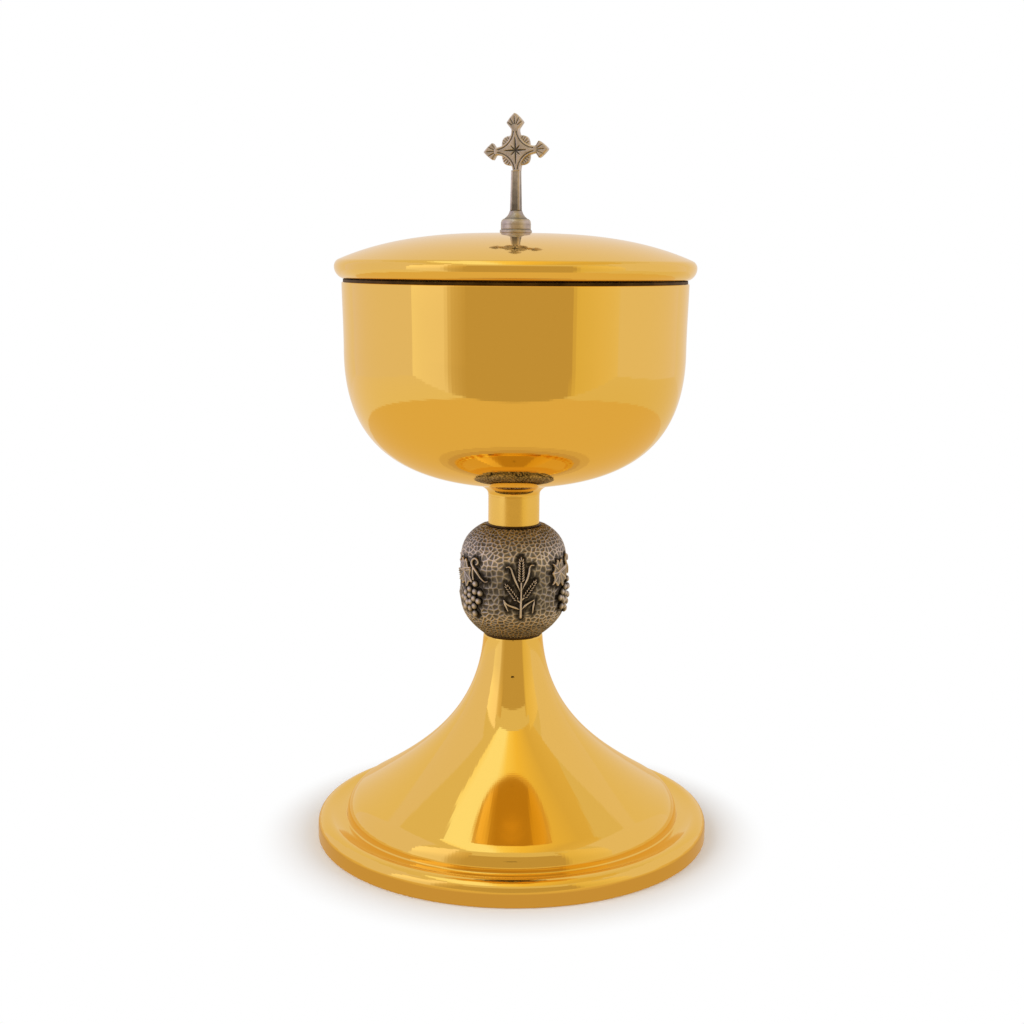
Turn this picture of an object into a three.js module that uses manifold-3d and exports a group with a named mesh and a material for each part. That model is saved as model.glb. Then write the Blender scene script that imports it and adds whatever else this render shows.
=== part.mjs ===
// A covered ciborium: a polished gold bowl and lid on a trumpet foot, with an
// antiqued silver knop and a small cross. Millimetres, Z up, standing on Z = 0.
import * as THREE from 'three';
import { mergeVertices } from 'three/addons/utils/BufferGeometryUtils.js';
import Module from 'manifold-3d';

const wasm = await Module();
wasm.setup();

// Facets round the spun shells, the turned pieces and the small hardware
const SHELL_STEPS = 32;
const TURNED_STEPS = 20;
const SMALL_STEPS = 12;
const KNOP_STEPS = 24;
const BOWL_CURVE_STEPS = 12;
const STRAND_SIDES = 4;

// Clearances
const FIT = 0.1; // radial clearance of a turned piece in its bore
const THREAD_FIT = 0.1; // radial clearance of a screw in its tapped hole
const HOLE_PLAY = 0.3; // radial play of the rod in the holes that it passes
const LID_PLAY = 0.45; // radial play of the lid's ring in the mouth of the bowl

// Foot
const FOOT_HEIGHT = 70.65;
const FOOT_WALL = 1.0;
const RIM_RADIUS = 67.6;
const RIM_EDGE_HEIGHT = 4.5; // upright band at the very edge
const RIM_TOP_HEIGHT = 8.0;
const RIM_ROUND_WIDTH = 3.5; // how far in from the edge the rim rounds over
const RIM_WIDTH = 10.05; // from the edge to the foot of the shoulder
const GROOVE_HEIGHT = 6.75; // lowest line between the shoulder and the rim
const COVE_RADIUS = 0.5;
const SHOULDER_ROUND = 9.0;
const SHOULDER_TURN = 42; // degrees that the shoulder turns over before its upper edge
const SHOULDER_EDGE_ROUND = 1.5;
const TRUMPET_END_SLOPE = 31.3; // degrees above level
const TRUMPET_END_PULL = 30.2; // how long the curve follows that slope
const NECK_RADIUS = 10.15;
const NECK_SLOPE = 86.1; // degrees above level
const NECK_PULL = 25.4;
const NECK_ROUND = 0.7;
const RIM_RING_WIDTH = 5.0;
const RIM_RING_HEIGHT = 2.4;
const RIM_RING_CHAMFER = 0.5;

// Stem
const ROD_RADIUS = 3.0;
const ROD_END_BELOW_NUT = 2.5;
const ROD_IN_BOSS = 5.8; // how far the rod is screwed into the boss
const STEM_RING_HEIGHT = 0.6;
const STEM_RING_INSET = 0.5; // how far the thin rings stand back from the knop's ends
const SLEEVE_WALL = 1.2;
const COLLAR_RADIUS = 8.7;
const COLLAR_WALL = 1.6;
const COLLAR_HEIGHT = 9.8;
const SPIGOT_LENGTH = 4.0;
const BOSS_RADIUS = 16.5;
const BOSS_HEIGHT = 3.6; // from its shoulder to the lowest point of the bowl
const BOSS_BAND_HEIGHT = 0.4;
const BRAZE_GAP = 0.1;
const CLAMP_WASHER_RADIUS = 8.0;
const CLAMP_WASHER_HEIGHT = 1.2;
const SPRING_WASHER_RADIUS = 5.4;
const SPRING_WASHER_HEIGHT = 1.4;
const SPRING_WASHER_SPLIT = 12; // degrees
const CLAMP_NUT_FLATS = 10.0;
const CLAMP_NUT_HEIGHT = 5.0;

// Knop
const KNOP_HEIGHT = 37.1;
const KNOP_RADIUS = 18.15;
const KNOP_LOW_END_RADIUS = 10.6;
const KNOP_HIGH_END_RADIUS = 9.85;
const KNOP_BELLY_LOW = 13.4; // the belly is upright between these two heights
const KNOP_BELLY_HIGH = 23.8;
const KNOP_LOW_SLOPE = 38.0; // degrees above level at the low end
const KNOP_HIGH_SLOPE = 34.0;
const KNOP_SLOPE_PULL = 6.8;
const KNOP_BELLY_PULL = 5.6;
const KNOP_WALL = 2.2;
const KNOP_END_WALL = 2.6;
const KNOP_TURN = 23; // degrees from the front to the first ear of wheat
const MOTIF_PAIRS = 3; // wheat and grapes alternate round the belly

// Wheat in relief, from the middle of the belly
const STEM_LOW = -10.1;
const STEM_HIGH = 2.4;
const STEM_THICKNESS = 1.05;
const BLADE_THICKNESS = 0.85;
const EAR_LENGTH = 8.2;
const EAR_WIDTH = 2.2;
const SIDE_EAR_LENGTH = 7.2;
const SIDE_EAR_WIDTH = 1.5;
const SIDE_EAR_ROOT = 0.9;
const SIDE_EAR_LOW = -3.6;
const SIDE_EAR_SLOPE = 54; // degrees above level
const LONG_BLADE = [[0.3, -0.4], [1.4, 2.0], [2.4, 4.4], [3.1, 6.7], [4.7, 7.7]]; // across and up
const LOW_BLADE = [[0, -7.4], [1.6, -6.1], [3.6, -4.8], [5.2, -3.7]];
const FOLDED_BLADE = [[5.1, -3.9], [4.5, -6.2], [4.1, -8.2]];

// Grapes in relief, from the middle of the belly
const GRAPE_RADIUS = 1.15;
const GRAPE_SPACING = 2.35;
const GRAPE_ROWS = [3, 4, 3, 2, 1];
const BUNCH_ACROSS = 1.2;
const BUNCH_TOP = 0.2;
const VINE_LEAF_RADIUS = 5.0;
const VINE_LEAF_ACROSS = -2.9;
const VINE_LEAF_UP = 4.0;
const VINE_LEAF_LOBES = 5;
const VINE_LEAF_NOTCH = 0.6; // share of the radius left between two lobes
const VINE_LEAF_HEIGHT = 0.75;
const TENDRIL_THICKNESS = 0.7;
const TENDRIL_SWEEP = [[10.2, 1.9], [8.4, 2.3], [6.2, 4.1], [3.0, 6.1]]; // across and up
const TENDRIL_ACROSS = 2.8;
const TENDRIL_UP = 7.7;
const TENDRIL_RADIUS = 1.8;
const TENDRIL_TURNS = 1.3;
const TENDRIL_CLOSING = 0.75; // share of its radius that the curl loses

// Bowl
const BOWL_HEIGHT = 67.4;
const BOWL_RADIUS = 56.85;
const BOWL_WALL = 1.1;
const BOWL_FLOOR_PULL = 39.2; // how far the nearly flat bottom reaches out
const BOWL_SIDE_PULL = 30.7; // how far the upright side reaches down
const BOWL_SIDE_HEIGHT = 44.9;
const BOWL_FLARE = 0.5; // the mouth is this much wider than the side
const LIP_ROUND = 0.35;

// Lid
const LID_WALL = 1.0;
const LID_GAP = 1.2; // dark gap between the lip and the bead
const BEAD_REACH = 2.45; // how far the bead stands out past the mouth
const BEAD_LOW_RADIUS = 3.85;
const BEAD_HIGH_RADIUS = 2.6;
const DOME_EDGE_SLOPE = 23.8; // degrees above level
const DOME_EDGE_PULL = 20.6;
const DOME_CROWN_PULL = 12.3;
const DOME_RISE = 11.1; // from the widest line of the bead to the crown
const CROWN_RADIUS = 5.6; // flat seat for the finial
const LID_RING_WALL = 1.0;
const LID_RING_DEPTH = 5.5; // below the lip
const LID_RING_RISE = 3.0; // above the shoulder of the ring
const LID_RING_OVERLAP = 0.3; // how far its shoulder reaches over the flat of the lip

// Finial
const BELL_RADIUS = 5.3;
const BELL_FOOT_HEIGHT = 1.0;
const BELL_WAIST_RADIUS = 4.95;
const BELL_SHOULDER_HEIGHT = 3.0;
const BELL_SHOULDER_PULL = 1.3;
const BELL_GROOVE_RADIUS = 3.8;
const BELL_GROOVE_HEIGHT = 4.9;
const BELL_GROOVE_STEP = 0.3;
const BELL_CONE_PULL = 1.5;
const BELL_TOP_RADIUS = 2.1;
const BELL_TOP_CHAMFER = 0.2;
const BELL_HEIGHT = 7.3;
const SOCKET_DEPTH = 2.7;
const TENON_RADIUS = 1.2;
const TENON_ROOT = 1.0; // how far the tenon reaches up into the shaft
const STUD_RADIUS = 1.5;
const STUD_IN_BELL = 3.6;
const STUD_HOLE_PLAY = 0.2;
const STUD_END_BELOW_NUT = 1.0;
const FINIAL_WASHER_RADIUS = 3.5;
const FINIAL_WASHER_HEIGHT = 0.5;
const FINIAL_NUT_FLATS = 5.5;
const FINIAL_NUT_HEIGHT = 2.4;

// Cross
const SHAFT_TOP_DEPTH = 2.2;
const SHAFT_FOOT_WIDTH = 2.9;
const SHAFT_FOOT_DEPTH = 3.4;
const HEAD_CENTRE_HEIGHT = 19.2; // above the foot of the shaft
const HEAD_DEPTH = 3.0;
const SIDE_REACH = 10.9;
const TOP_REACH = 12.0;
const ARM_NECK_HALF = 1.2; // half the width of an arm and of the shaft where they meet the head
const BUD_LENGTH = 3.1;
const BUD_HALF = 2.8;
const BUD_POINT_LENGTH = 1.25; // the pull of the curves that meet at the point of a bud
const BUD_POINT_HALF = 1.55;
const HOLLOW_DEPTH = 4.0; // from the centre to the hollow between two arms
const LOBE_HALF = 4.8;
const LOBE_SQUARENESS = 4;
const LOBE_DEPTH = 1.8;
const HEAD_BEVEL = 0.3;

// Heights of the pieces that stand on one another
const knopBottom = FOOT_HEIGHT + STEM_RING_HEIGHT;
const knopTop = knopBottom + KNOP_HEIGHT;
const collarBottom = knopTop + STEM_RING_HEIGHT;
const bossShoulder = collarBottom + COLLAR_HEIGHT;
const bowlBottom = bossShoulder + BOSS_HEIGHT;
const lipHeight = bowlBottom + BOWL_HEIGHT;
const beadBottom = lipHeight + LID_GAP;
const beadMiddle = beadBottom + BEAD_LOW_RADIUS;
const crownHeight = beadMiddle + DOME_RISE;
const shaftFoot = crownHeight + BELL_HEIGHT;

// The hollows between the arms are quarter circles round points on the diagonals
const hollowCentre = (HOLLOW_DEPTH - ARM_NECK_HALF) / (Math.SQRT2 - 1);
const hollowRadius = hollowCentre - ARM_NECK_HALF;

// Radii that fit one another
const riserRadius = RIM_RADIUS - RIM_WIDTH;
const mouthRadius = BOWL_RADIUS + BOWL_FLARE;
const mouthBore = mouthRadius - BOWL_WALL;
const lidRingRadius = mouthBore - LID_PLAY;
const lidRingShoulder = mouthBore + LIP_ROUND + LID_RING_OVERLAP;
const rodHole = ROD_RADIUS + HOLE_PLAY;
const sleeveRadius = rodHole + SLEEVE_WALL;
const collarBore = COLLAR_RADIUS - COLLAR_WALL;

const gold = { color: 0xe0aa46, roughness: 0.08, metalness: 1 };
const antiqueSilver = { color: 0x8d8378, roughness: 0.4, metalness: 1 };
const darkSilver = { color: 0x4b4640, roughness: 0.5, metalness: 1 };
const brass = { color: 0xc9a24f, roughness: 0.3, metalness: 1 };
const steel = { color: 0xb8b8b4, roughness: 0.35, metalness: 1 };

const point = (radius, height) => new THREE.Vector2(radius, height);
const radians = THREE.MathUtils.degToRad;

function direction(degrees, length) {
  return point(length * Math.cos(radians(degrees)), length * Math.sin(radians(degrees)));
}

function arc(centre, radius, fromDegrees, toDegrees, steps) {
  const points = [];
  for (let i = 0; i <= steps; i++) {
    const degrees = THREE.MathUtils.lerp(fromDegrees, toDegrees, i / steps);
    points.push(direction(degrees, radius).add(centre));
  }
  return points;
}

function curve(start, startPull, endPull, end, steps) {
  return new THREE.CubicBezierCurve(start, startPull, endPull, end).getPoints(steps);
}

function bend(start, pull, end, steps) {
  return new THREE.QuadraticBezierCurve(start, pull, end).getPoints(steps);
}

// The same line moved square to itself, to the left of the way it runs
function moved(points, distance) {
  return points.map((place, i) => {
    const before = points[Math.max(i - 1, 0)];
    const after = points[Math.min(i + 1, points.length - 1)];
    const along = after.clone().sub(before).normalize();
    return point(place.x - distance * along.y, place.y + distance * along.x);
  });
}

// Turns an outline about Z. It runs anticlockwise, outside first, and either
// starts and ends on the axis or is closed here
function turned(outline, steps) {
  const onAxis = outline[0].x === 0;
  const closed = onAxis ? outline : [...outline, outline[0]];
  return new THREE.LatheGeometry(closed, steps).rotateX(Math.PI / 2);
}

function tube(outer, bore, bottom, top, steps) {
  const outline = [point(bore, bottom), point(outer, bottom), point(outer, top), point(bore, top)];
  return turned(outline, steps);
}

function rod(radius, bottom, top, steps) {
  const outline = [point(0, bottom), point(radius, bottom), point(radius, top), point(0, top)];
  return turned(outline, steps);
}

function toSolid(geometry) {
  const bare = geometry.clone();
  bare.deleteAttribute('normal');
  bare.deleteAttribute('uv');
  const merged = mergeVertices(bare);
  const corners = merged.index.array;
  const triangles = [];
  for (let i = 0; i < corners.length; i += 3) {
    const [a, b, c] = [corners[i], corners[i + 1], corners[i + 2]];
    if (a !== b && b !== c && c !== a) triangles.push(a, b, c);
  }
  return new wasm.Manifold(new wasm.Mesh({
    numProp: 3,
    vertProperties: new Float32Array(merged.attributes.position.array),
    triVerts: new Uint32Array(triangles),
  }));
}

function toGeometry(solid) {
  const mesh = solid.getMesh();
  const geometry = new THREE.BufferGeometry();
  geometry.setAttribute('position', new THREE.BufferAttribute(new Float32Array(mesh.vertProperties), 3));
  geometry.setIndex(new THREE.BufferAttribute(new Uint32Array(mesh.triVerts), 1));
  geometry.computeVertexNormals();
  return geometry;
}

function joined(geometries) {
  return toGeometry(geometries.map(toSolid).reduce((whole, next) => whole.add(next)));
}

function hexNut(flats, bore, height) {
  const hexagon = new THREE.Shape();
  const corner = flats / Math.sqrt(3);
  for (let i = 0; i < 6; i++) {
    const angle = radians(60 * i);
    const [x, y] = [corner * Math.cos(angle), corner * Math.sin(angle)];
    if (i === 0) hexagon.moveTo(x, y);
    else hexagon.lineTo(x, y);
  }
  hexagon.closePath();
  hexagon.holes.push(new THREE.Path().absarc(0, 0, bore, 0, 2 * Math.PI, true));
  const nut = { depth: height, bevelEnabled: false, curveSegments: SMALL_STEPS / 2 };
  return new THREE.ExtrudeGeometry(hexagon, nut);
}

// Foot

const shoulderCentre = point(riserRadius - SHOULDER_ROUND, GROOVE_HEIGHT + COVE_RADIUS);
const edgeCentre = direction(SHOULDER_TURN, SHOULDER_ROUND - SHOULDER_EDGE_ROUND).add(shoulderCentre);

function trumpetLine(steps) {
  const end = direction(90 - TRUMPET_END_SLOPE, SHOULDER_EDGE_ROUND).add(edgeCentre);
  const top = point(NECK_RADIUS, FOOT_HEIGHT - NECK_ROUND);
  const endPull = end.clone().add(direction(180 - TRUMPET_END_SLOPE, TRUMPET_END_PULL));
  const topPull = top.clone().add(direction(-NECK_SLOPE, NECK_PULL));
  return curve(end, endPull, topPull, top, steps);
}

function rimLine(steps) {
  const edge = point(RIM_RADIUS, RIM_EDGE_HEIGHT);
  const flat = point(RIM_RADIUS - RIM_ROUND_WIDTH, RIM_TOP_HEIGHT);
  const edgePull = point(edge.x, (edge.y + flat.y) / 2);
  const flatPull = point((edge.x + flat.x) / 2, flat.y);
  return curve(edge, edgePull, flatPull, flat, steps);
}

function footShell() {
  const coveCentre = point(riserRadius + COVE_RADIUS, GROOVE_HEIGHT + COVE_RADIUS);
  const neckCentre = point(NECK_RADIUS - NECK_ROUND, FOOT_HEIGHT - NECK_ROUND);
  const innerRiser = riserRadius - FOOT_WALL;
  const outside = [
    point(RIM_RADIUS, 0),
    ...rimLine(3),
    ...arc(coveCentre, COVE_RADIUS, 270, 180, 2),
    ...arc(shoulderCentre, SHOULDER_ROUND, 0, SHOULDER_TURN, 3).slice(1),
    ...arc(edgeCentre, SHOULDER_EDGE_ROUND, SHOULDER_TURN, 90 - TRUMPET_END_SLOPE, 1).slice(1),
    ...trumpetLine(8).slice(1),
    ...arc(neckCentre, NECK_ROUND, 30, 90, 2),
    point(rodHole, FOOT_HEIGHT),
  ];
  const inside = [
    point(rodHole, FOOT_HEIGHT - FOOT_WALL),
    point(NECK_RADIUS - FOOT_WALL, FOOT_HEIGHT - FOOT_WALL),
    ...moved(trumpetLine(5), FOOT_WALL).reverse().slice(1),
    point(innerRiser, GROOVE_HEIGHT - FOOT_WALL),
    ...moved(rimLine(2), FOOT_WALL).reverse(),
    point(RIM_RADIUS - FOOT_WALL, 0),
  ];
  return turned([...outside, ...inside], SHELL_STEPS);
}

function footRimRing() {
  const radius = RIM_RADIUS - FOOT_WALL - FIT;
  const bore = radius - RIM_RING_WIDTH;
  const outline = [
    point(bore, 0),
    point(radius, 0),
    point(radius, RIM_RING_HEIGHT - RIM_RING_CHAMFER),
    point(radius - RIM_RING_CHAMFER, RIM_RING_HEIGHT),
    point(bore, RIM_RING_HEIGHT),
  ];
  return turned(outline, SHELL_STEPS);
}

// Stem

function springWasher() {
  const split = radians(SPRING_WASHER_SPLIT);
  const washer = new THREE.Shape();
  washer.absarc(0, 0, SPRING_WASHER_RADIUS, split, 2 * Math.PI, false);
  washer.absarc(0, 0, rodHole, 2 * Math.PI, split, true);
  const sheet = { depth: SPRING_WASHER_HEIGHT, bevelEnabled: false, curveSegments: SMALL_STEPS / 2 };
  return new THREE.ExtrudeGeometry(washer, sheet);
}

// The boss carries the bowl, so its top follows the bottom of the bowl
function cupBoss() {
  const spigot = collarBore - FIT;
  const shoulder = COLLAR_RADIUS + FIT;
  const seat = bowlLine(BOWL_CURVE_STEPS).filter((place) => place.x < BOSS_RADIUS);
  const dish = moved(seat, -BRAZE_GAP).map((place) => point(place.x, place.y + BOSS_HEIGHT));
  const edge = dish[dish.length - 1];
  const flareStart = point(shoulder, BOSS_BAND_HEIGHT);
  const flarePull = point(shoulder, edge.y / 2);
  const edgePull = point((shoulder + edge.x) / 2, edge.y - BOSS_BAND_HEIGHT);
  const outline = [
    point(0, ROD_IN_BOSS - SPIGOT_LENGTH + THREAD_FIT),
    point(ROD_RADIUS + THREAD_FIT, ROD_IN_BOSS - SPIGOT_LENGTH + THREAD_FIT),
    point(ROD_RADIUS + THREAD_FIT, -SPIGOT_LENGTH),
    point(spigot, -SPIGOT_LENGTH),
    point(spigot, 0),
    point(shoulder, 0),
    ...curve(flareStart, flarePull, edgePull, edge, 5),
    ...dish.slice(1, -1).reverse(),
    point(0, dish[0].y),
  ];
  return turned(outline, TURNED_STEPS);
}

// Knop

function knopLine() {
  const low = point(KNOP_LOW_END_RADIUS, 0);
  const bellyLow = point(KNOP_RADIUS, KNOP_BELLY_LOW);
  const bellyHigh = point(KNOP_RADIUS, KNOP_BELLY_HIGH);
  const high = point(KNOP_HIGH_END_RADIUS, KNOP_HEIGHT);
  const lowPull = low.clone().add(direction(KNOP_LOW_SLOPE, KNOP_SLOPE_PULL));
  const highPull = high.clone().add(direction(-KNOP_HIGH_SLOPE, KNOP_SLOPE_PULL));
  return [
    ...curve(low, lowPull, point(KNOP_RADIUS, KNOP_BELLY_LOW - KNOP_BELLY_PULL), bellyLow, 4),
    ...curve(bellyHigh, point(KNOP_RADIUS, KNOP_BELLY_HIGH + KNOP_BELLY_PULL), highPull, high, 4),
  ];
}

function knopRadiusAt(height) {
  const line = knopLine();
  const next = Math.max(1, line.findIndex((place) => place.y >= height));
  const [below, above] = [line[next - 1], line[next]];
  return THREE.MathUtils.mapLinear(height, below.y, above.y, below.x, above.x);
}

// A place on the knop: across and up from the middle of the belly, and out
function onKnop(turn, across, up, out) {
  const height = KNOP_HEIGHT / 2 + up;
  const angle = turn + across / KNOP_RADIUS;
  const radius = knopRadiusAt(height) + out;
  return new THREE.Vector3(radius * Math.sin(angle), -radius * Math.cos(angle), height);
}

function strand(turn, path, thickness, steps) {
  const section = new THREE.Shape();
  section.absellipse(0, 0, thickness / 2, thickness / 2, 0, 2 * Math.PI, false);
  const route = new THREE.CatmullRomCurve3(path.map(([across, up]) => onKnop(turn, across, up, thickness / 4)));
  return new THREE.ExtrudeGeometry(section, { steps, curveSegments: STRAND_SIDES / 2, extrudePath: route });
}

// A pointed or rounded swelling laid along the surface
function swelling(turn, from, to, width, sides, rings) {
  const start = onKnop(turn, ...from, width / 8);
  const end = onKnop(turn, ...to, width / 8);
  const along = end.clone().sub(start);
  const body = new THREE.SphereGeometry(1, sides, rings);
  body.scale(width / 2, along.length() / 2, width / 2);
  body.applyQuaternion(new THREE.Quaternion().setFromUnitVectors(new THREE.Vector3(0, 1, 0), along.normalize()));
  const middle = start.add(end).multiplyScalar(0.5);
  return body.translate(middle.x, middle.y, middle.z);
}

function wheat(turn) {
  const slope = radians(SIDE_EAR_SLOPE);
  const pieces = [
    strand(turn, [[0, STEM_LOW], [0, (STEM_LOW + STEM_HIGH) / 2], [0, STEM_HIGH]], STEM_THICKNESS, 3),
    swelling(turn, [0, STEM_HIGH], [0, STEM_HIGH + EAR_LENGTH], EAR_WIDTH, 6, 4),
  ];
  for (const side of [-1, 1]) {
    const earEnd = SIDE_EAR_ROOT + SIDE_EAR_LENGTH * Math.cos(slope);
    const earTop = SIDE_EAR_LOW + SIDE_EAR_LENGTH * Math.sin(slope);
    const mirrored = (path) => path.map(([across, up]) => [side * across, up]);
    pieces.push(
      swelling(turn, [side * SIDE_EAR_ROOT, SIDE_EAR_LOW], [side * earEnd, earTop], SIDE_EAR_WIDTH, 5, 3),
      strand(turn, mirrored(LONG_BLADE), BLADE_THICKNESS, 4),
      strand(turn, mirrored(LOW_BLADE), BLADE_THICKNESS, 2),
      strand(turn, mirrored(FOLDED_BLADE), BLADE_THICKNESS, 2),
    );
  }
  return pieces;
}

// A disc with a corner at each lobe and each notch, laid on the belly. Its stalk
// end is the notch that points down
function vineLeaf(turn) {
  const corners = VINE_LEAF_LOBES * 2;
  const leaf = new THREE.CylinderGeometry(1, 1, 2 * VINE_LEAF_HEIGHT, corners).rotateX(Math.PI / 2);
  const places = leaf.attributes.position;
  for (let i = 0; i < places.count; i++) {
    const [x, y] = [places.getX(i), places.getY(i)];
    const corner = Math.round((corners * Math.atan2(x, -y)) / (2 * Math.PI));
    const reach = VINE_LEAF_RADIUS * (corner % 2 === 0 ? VINE_LEAF_NOTCH : 1);
    const across = VINE_LEAF_ACROSS + reach * x;
    const up = VINE_LEAF_UP + reach * y;
    const place = onKnop(turn, across, up, places.getZ(i));
    places.setXYZ(i, place.x, place.y, place.z);
  }
  return leaf;
}

function tendril(turn) {
  const path = [...TENDRIL_SWEEP];
  const steps = 12;
  for (let i = 0; i <= steps; i++) {
    const angle = Math.PI - (2 * Math.PI * TENDRIL_TURNS * i) / steps;
    const radius = TENDRIL_RADIUS * (1 - (TENDRIL_CLOSING * i) / steps);
    path.push([TENDRIL_ACROSS + radius * Math.cos(angle), TENDRIL_UP + radius * Math.sin(angle)]);
  }
  return strand(turn, path, TENDRIL_THICKNESS, 12);
}

function grapes(turn) {
  const pieces = [vineLeaf(turn), tendril(turn)];
  GRAPE_ROWS.forEach((count, row) => {
    for (let i = 0; i < count; i++) {
      const across = BUNCH_ACROSS + (i - (count - 1) / 2) * GRAPE_SPACING;
      const up = BUNCH_TOP - row * GRAPE_SPACING;
      const grape = new THREE.IcosahedronGeometry(GRAPE_RADIUS);
      const centre = onKnop(turn, across, up, GRAPE_RADIUS / 5);
      pieces.push(grape.translate(centre.x, centre.y, centre.z));
    }
  });
  return pieces;
}

// A hollow casting, open round the sleeve at both ends
function knop() {
  const line = knopLine();
  const bore = sleeveRadius + FIT;
  const hollow = moved(line, KNOP_WALL).filter((place) =>
    place.y > KNOP_END_WALL && place.y < KNOP_HEIGHT - KNOP_END_WALL);
  const outline = [
    point(bore, 0),
    ...line,
    point(bore, KNOP_HEIGHT),
    point(bore, KNOP_HEIGHT - KNOP_END_WALL),
    point(hollow[hollow.length - 1].x, KNOP_HEIGHT - KNOP_END_WALL),
    ...hollow.reverse(),
    point(hollow[hollow.length - 1].x, KNOP_END_WALL),
    point(bore, KNOP_END_WALL),
  ];
  const pieces = [turned(outline, KNOP_STEPS)];
  for (let i = 0; i < MOTIF_PAIRS; i++) {
    const turn = radians(KNOP_TURN + (360 * i) / MOTIF_PAIRS);
    pieces.push(...wheat(turn), ...grapes(turn + Math.PI / MOTIF_PAIRS));
  }
  return joined(pieces);
}

// Bowl

function bowlLine(steps) {
  const bottom = point(0, 0);
  const side = point(BOWL_RADIUS, BOWL_SIDE_HEIGHT);
  const sidePull = point(BOWL_RADIUS, BOWL_SIDE_HEIGHT - BOWL_SIDE_PULL);
  return curve(bottom, point(BOWL_FLOOR_PULL, 0), sidePull, side, steps);
}

function bowl() {
  const flare = [point(BOWL_RADIUS, (BOWL_SIDE_HEIGHT + BOWL_HEIGHT) / 2)];
  const mouthCentre = point(mouthRadius - LIP_ROUND, BOWL_HEIGHT - LIP_ROUND);
  const boreCentre = point(mouthBore + LIP_ROUND, BOWL_HEIGHT - LIP_ROUND);
  const outside = [...bowlLine(BOWL_CURVE_STEPS), ...flare, ...arc(mouthCentre, LIP_ROUND, 0, 90, 2)];
  const inside = [
    ...arc(boreCentre, LIP_ROUND, 90, 180, 2),
    ...moved([...bowlLine(BOWL_CURVE_STEPS - 3), ...flare], BOWL_WALL).reverse(),
  ];
  inside[inside.length - 1].x = 0;
  return turned([...outside, ...inside], SHELL_STEPS);
}

// Lid, from the lip up

function lidDome() {
  const lowCentre = point(mouthRadius + BEAD_REACH - BEAD_LOW_RADIUS, beadMiddle);
  const highCentre = point(mouthRadius + BEAD_REACH - BEAD_HIGH_RADIUS, beadMiddle);
  const edgeAngle = 90 - DOME_EDGE_SLOPE;
  const domeEdge = direction(edgeAngle, BEAD_HIGH_RADIUS).add(highCentre);
  const crown = point(CROWN_RADIUS, crownHeight);
  const edgePull = domeEdge.clone().add(direction(180 - DOME_EDGE_SLOPE, DOME_EDGE_PULL));
  const crownPull = point(CROWN_RADIUS + DOME_CROWN_PULL, crownHeight);
  const dome = (steps) => curve(domeEdge, edgePull, crownPull, crown, steps);
  const hole = STUD_RADIUS + STUD_HOLE_PLAY;
  const curl = lidRingRadius + FIT;
  const outside = [
    point(curl, beadBottom),
    ...arc(lowCentre, BEAD_LOW_RADIUS, 270, 360, 5),
    ...arc(highCentre, BEAD_HIGH_RADIUS, 0, edgeAngle, 3).slice(1),
    ...dome(7).slice(1),
    point(hole, crownHeight),
  ];
  const inside = [
    point(hole, crownHeight - LID_WALL),
    ...moved(dome(4), LID_WALL).reverse(),
    ...arc(highCentre, BEAD_HIGH_RADIUS - LID_WALL, edgeAngle, 0, 2).slice(1),
    ...arc(lowCentre, BEAD_LOW_RADIUS - LID_WALL, 360, 270, 3).slice(1),
    point(curl, beadBottom + LID_WALL),
  ];
  return turned([...outside, ...inside], SHELL_STEPS);
}

function lidRing() {
  const bore = lidRingRadius - LID_RING_WALL;
  const outline = [
    point(bore, lipHeight - LID_RING_DEPTH),
    point(lidRingRadius, lipHeight - LID_RING_DEPTH),
    point(lidRingRadius, lipHeight),
    point(lidRingShoulder, lipHeight),
    point(lidRingShoulder, beadBottom),
    point(lidRingRadius, beadBottom),
    point(lidRingRadius, beadBottom + LID_RING_RISE),
    point(bore, beadBottom + LID_RING_RISE),
  ];
  return turned(outline, SHELL_STEPS);
}

// Finial, with the crown of the lid at height 0

function finialBell() {
  const waist = point(BELL_WAIST_RADIUS, BELL_SHOULDER_HEIGHT);
  const waistPull = point(BELL_WAIST_RADIUS, BELL_SHOULDER_HEIGHT + BELL_SHOULDER_PULL);
  const shoulder = point(BELL_GROOVE_RADIUS + BELL_GROOVE_STEP, BELL_GROOVE_HEIGHT);
  const cone = point(BELL_GROOVE_RADIUS, BELL_GROOVE_HEIGHT);
  const coneTop = point(BELL_TOP_RADIUS, BELL_HEIGHT - BELL_TOP_CHAMFER);
  const conePull = point(BELL_TOP_RADIUS, coneTop.y - BELL_CONE_PULL);
  const outline = [
    point(0, STUD_IN_BELL + THREAD_FIT),
    point(STUD_RADIUS + THREAD_FIT, STUD_IN_BELL + THREAD_FIT),
    point(STUD_RADIUS + THREAD_FIT, 0),
    point(BELL_RADIUS, 0),
    point(BELL_RADIUS, BELL_FOOT_HEIGHT),
    point(BELL_WAIST_RADIUS, BELL_FOOT_HEIGHT + BELL_GROOVE_STEP),
    ...bend(waist, waistPull, shoulder, 3),
    ...bend(cone, conePull, coneTop, 3),
    point(BELL_TOP_RADIUS - BELL_TOP_CHAMFER, BELL_HEIGHT),
    point(TENON_RADIUS + FIT, BELL_HEIGHT),
    point(TENON_RADIUS + FIT, BELL_HEIGHT - SOCKET_DEPTH),
    point(0, BELL_HEIGHT - SOCKET_DEPTH),
  ];
  return turned(outline, TURNED_STEPS);
}

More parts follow.
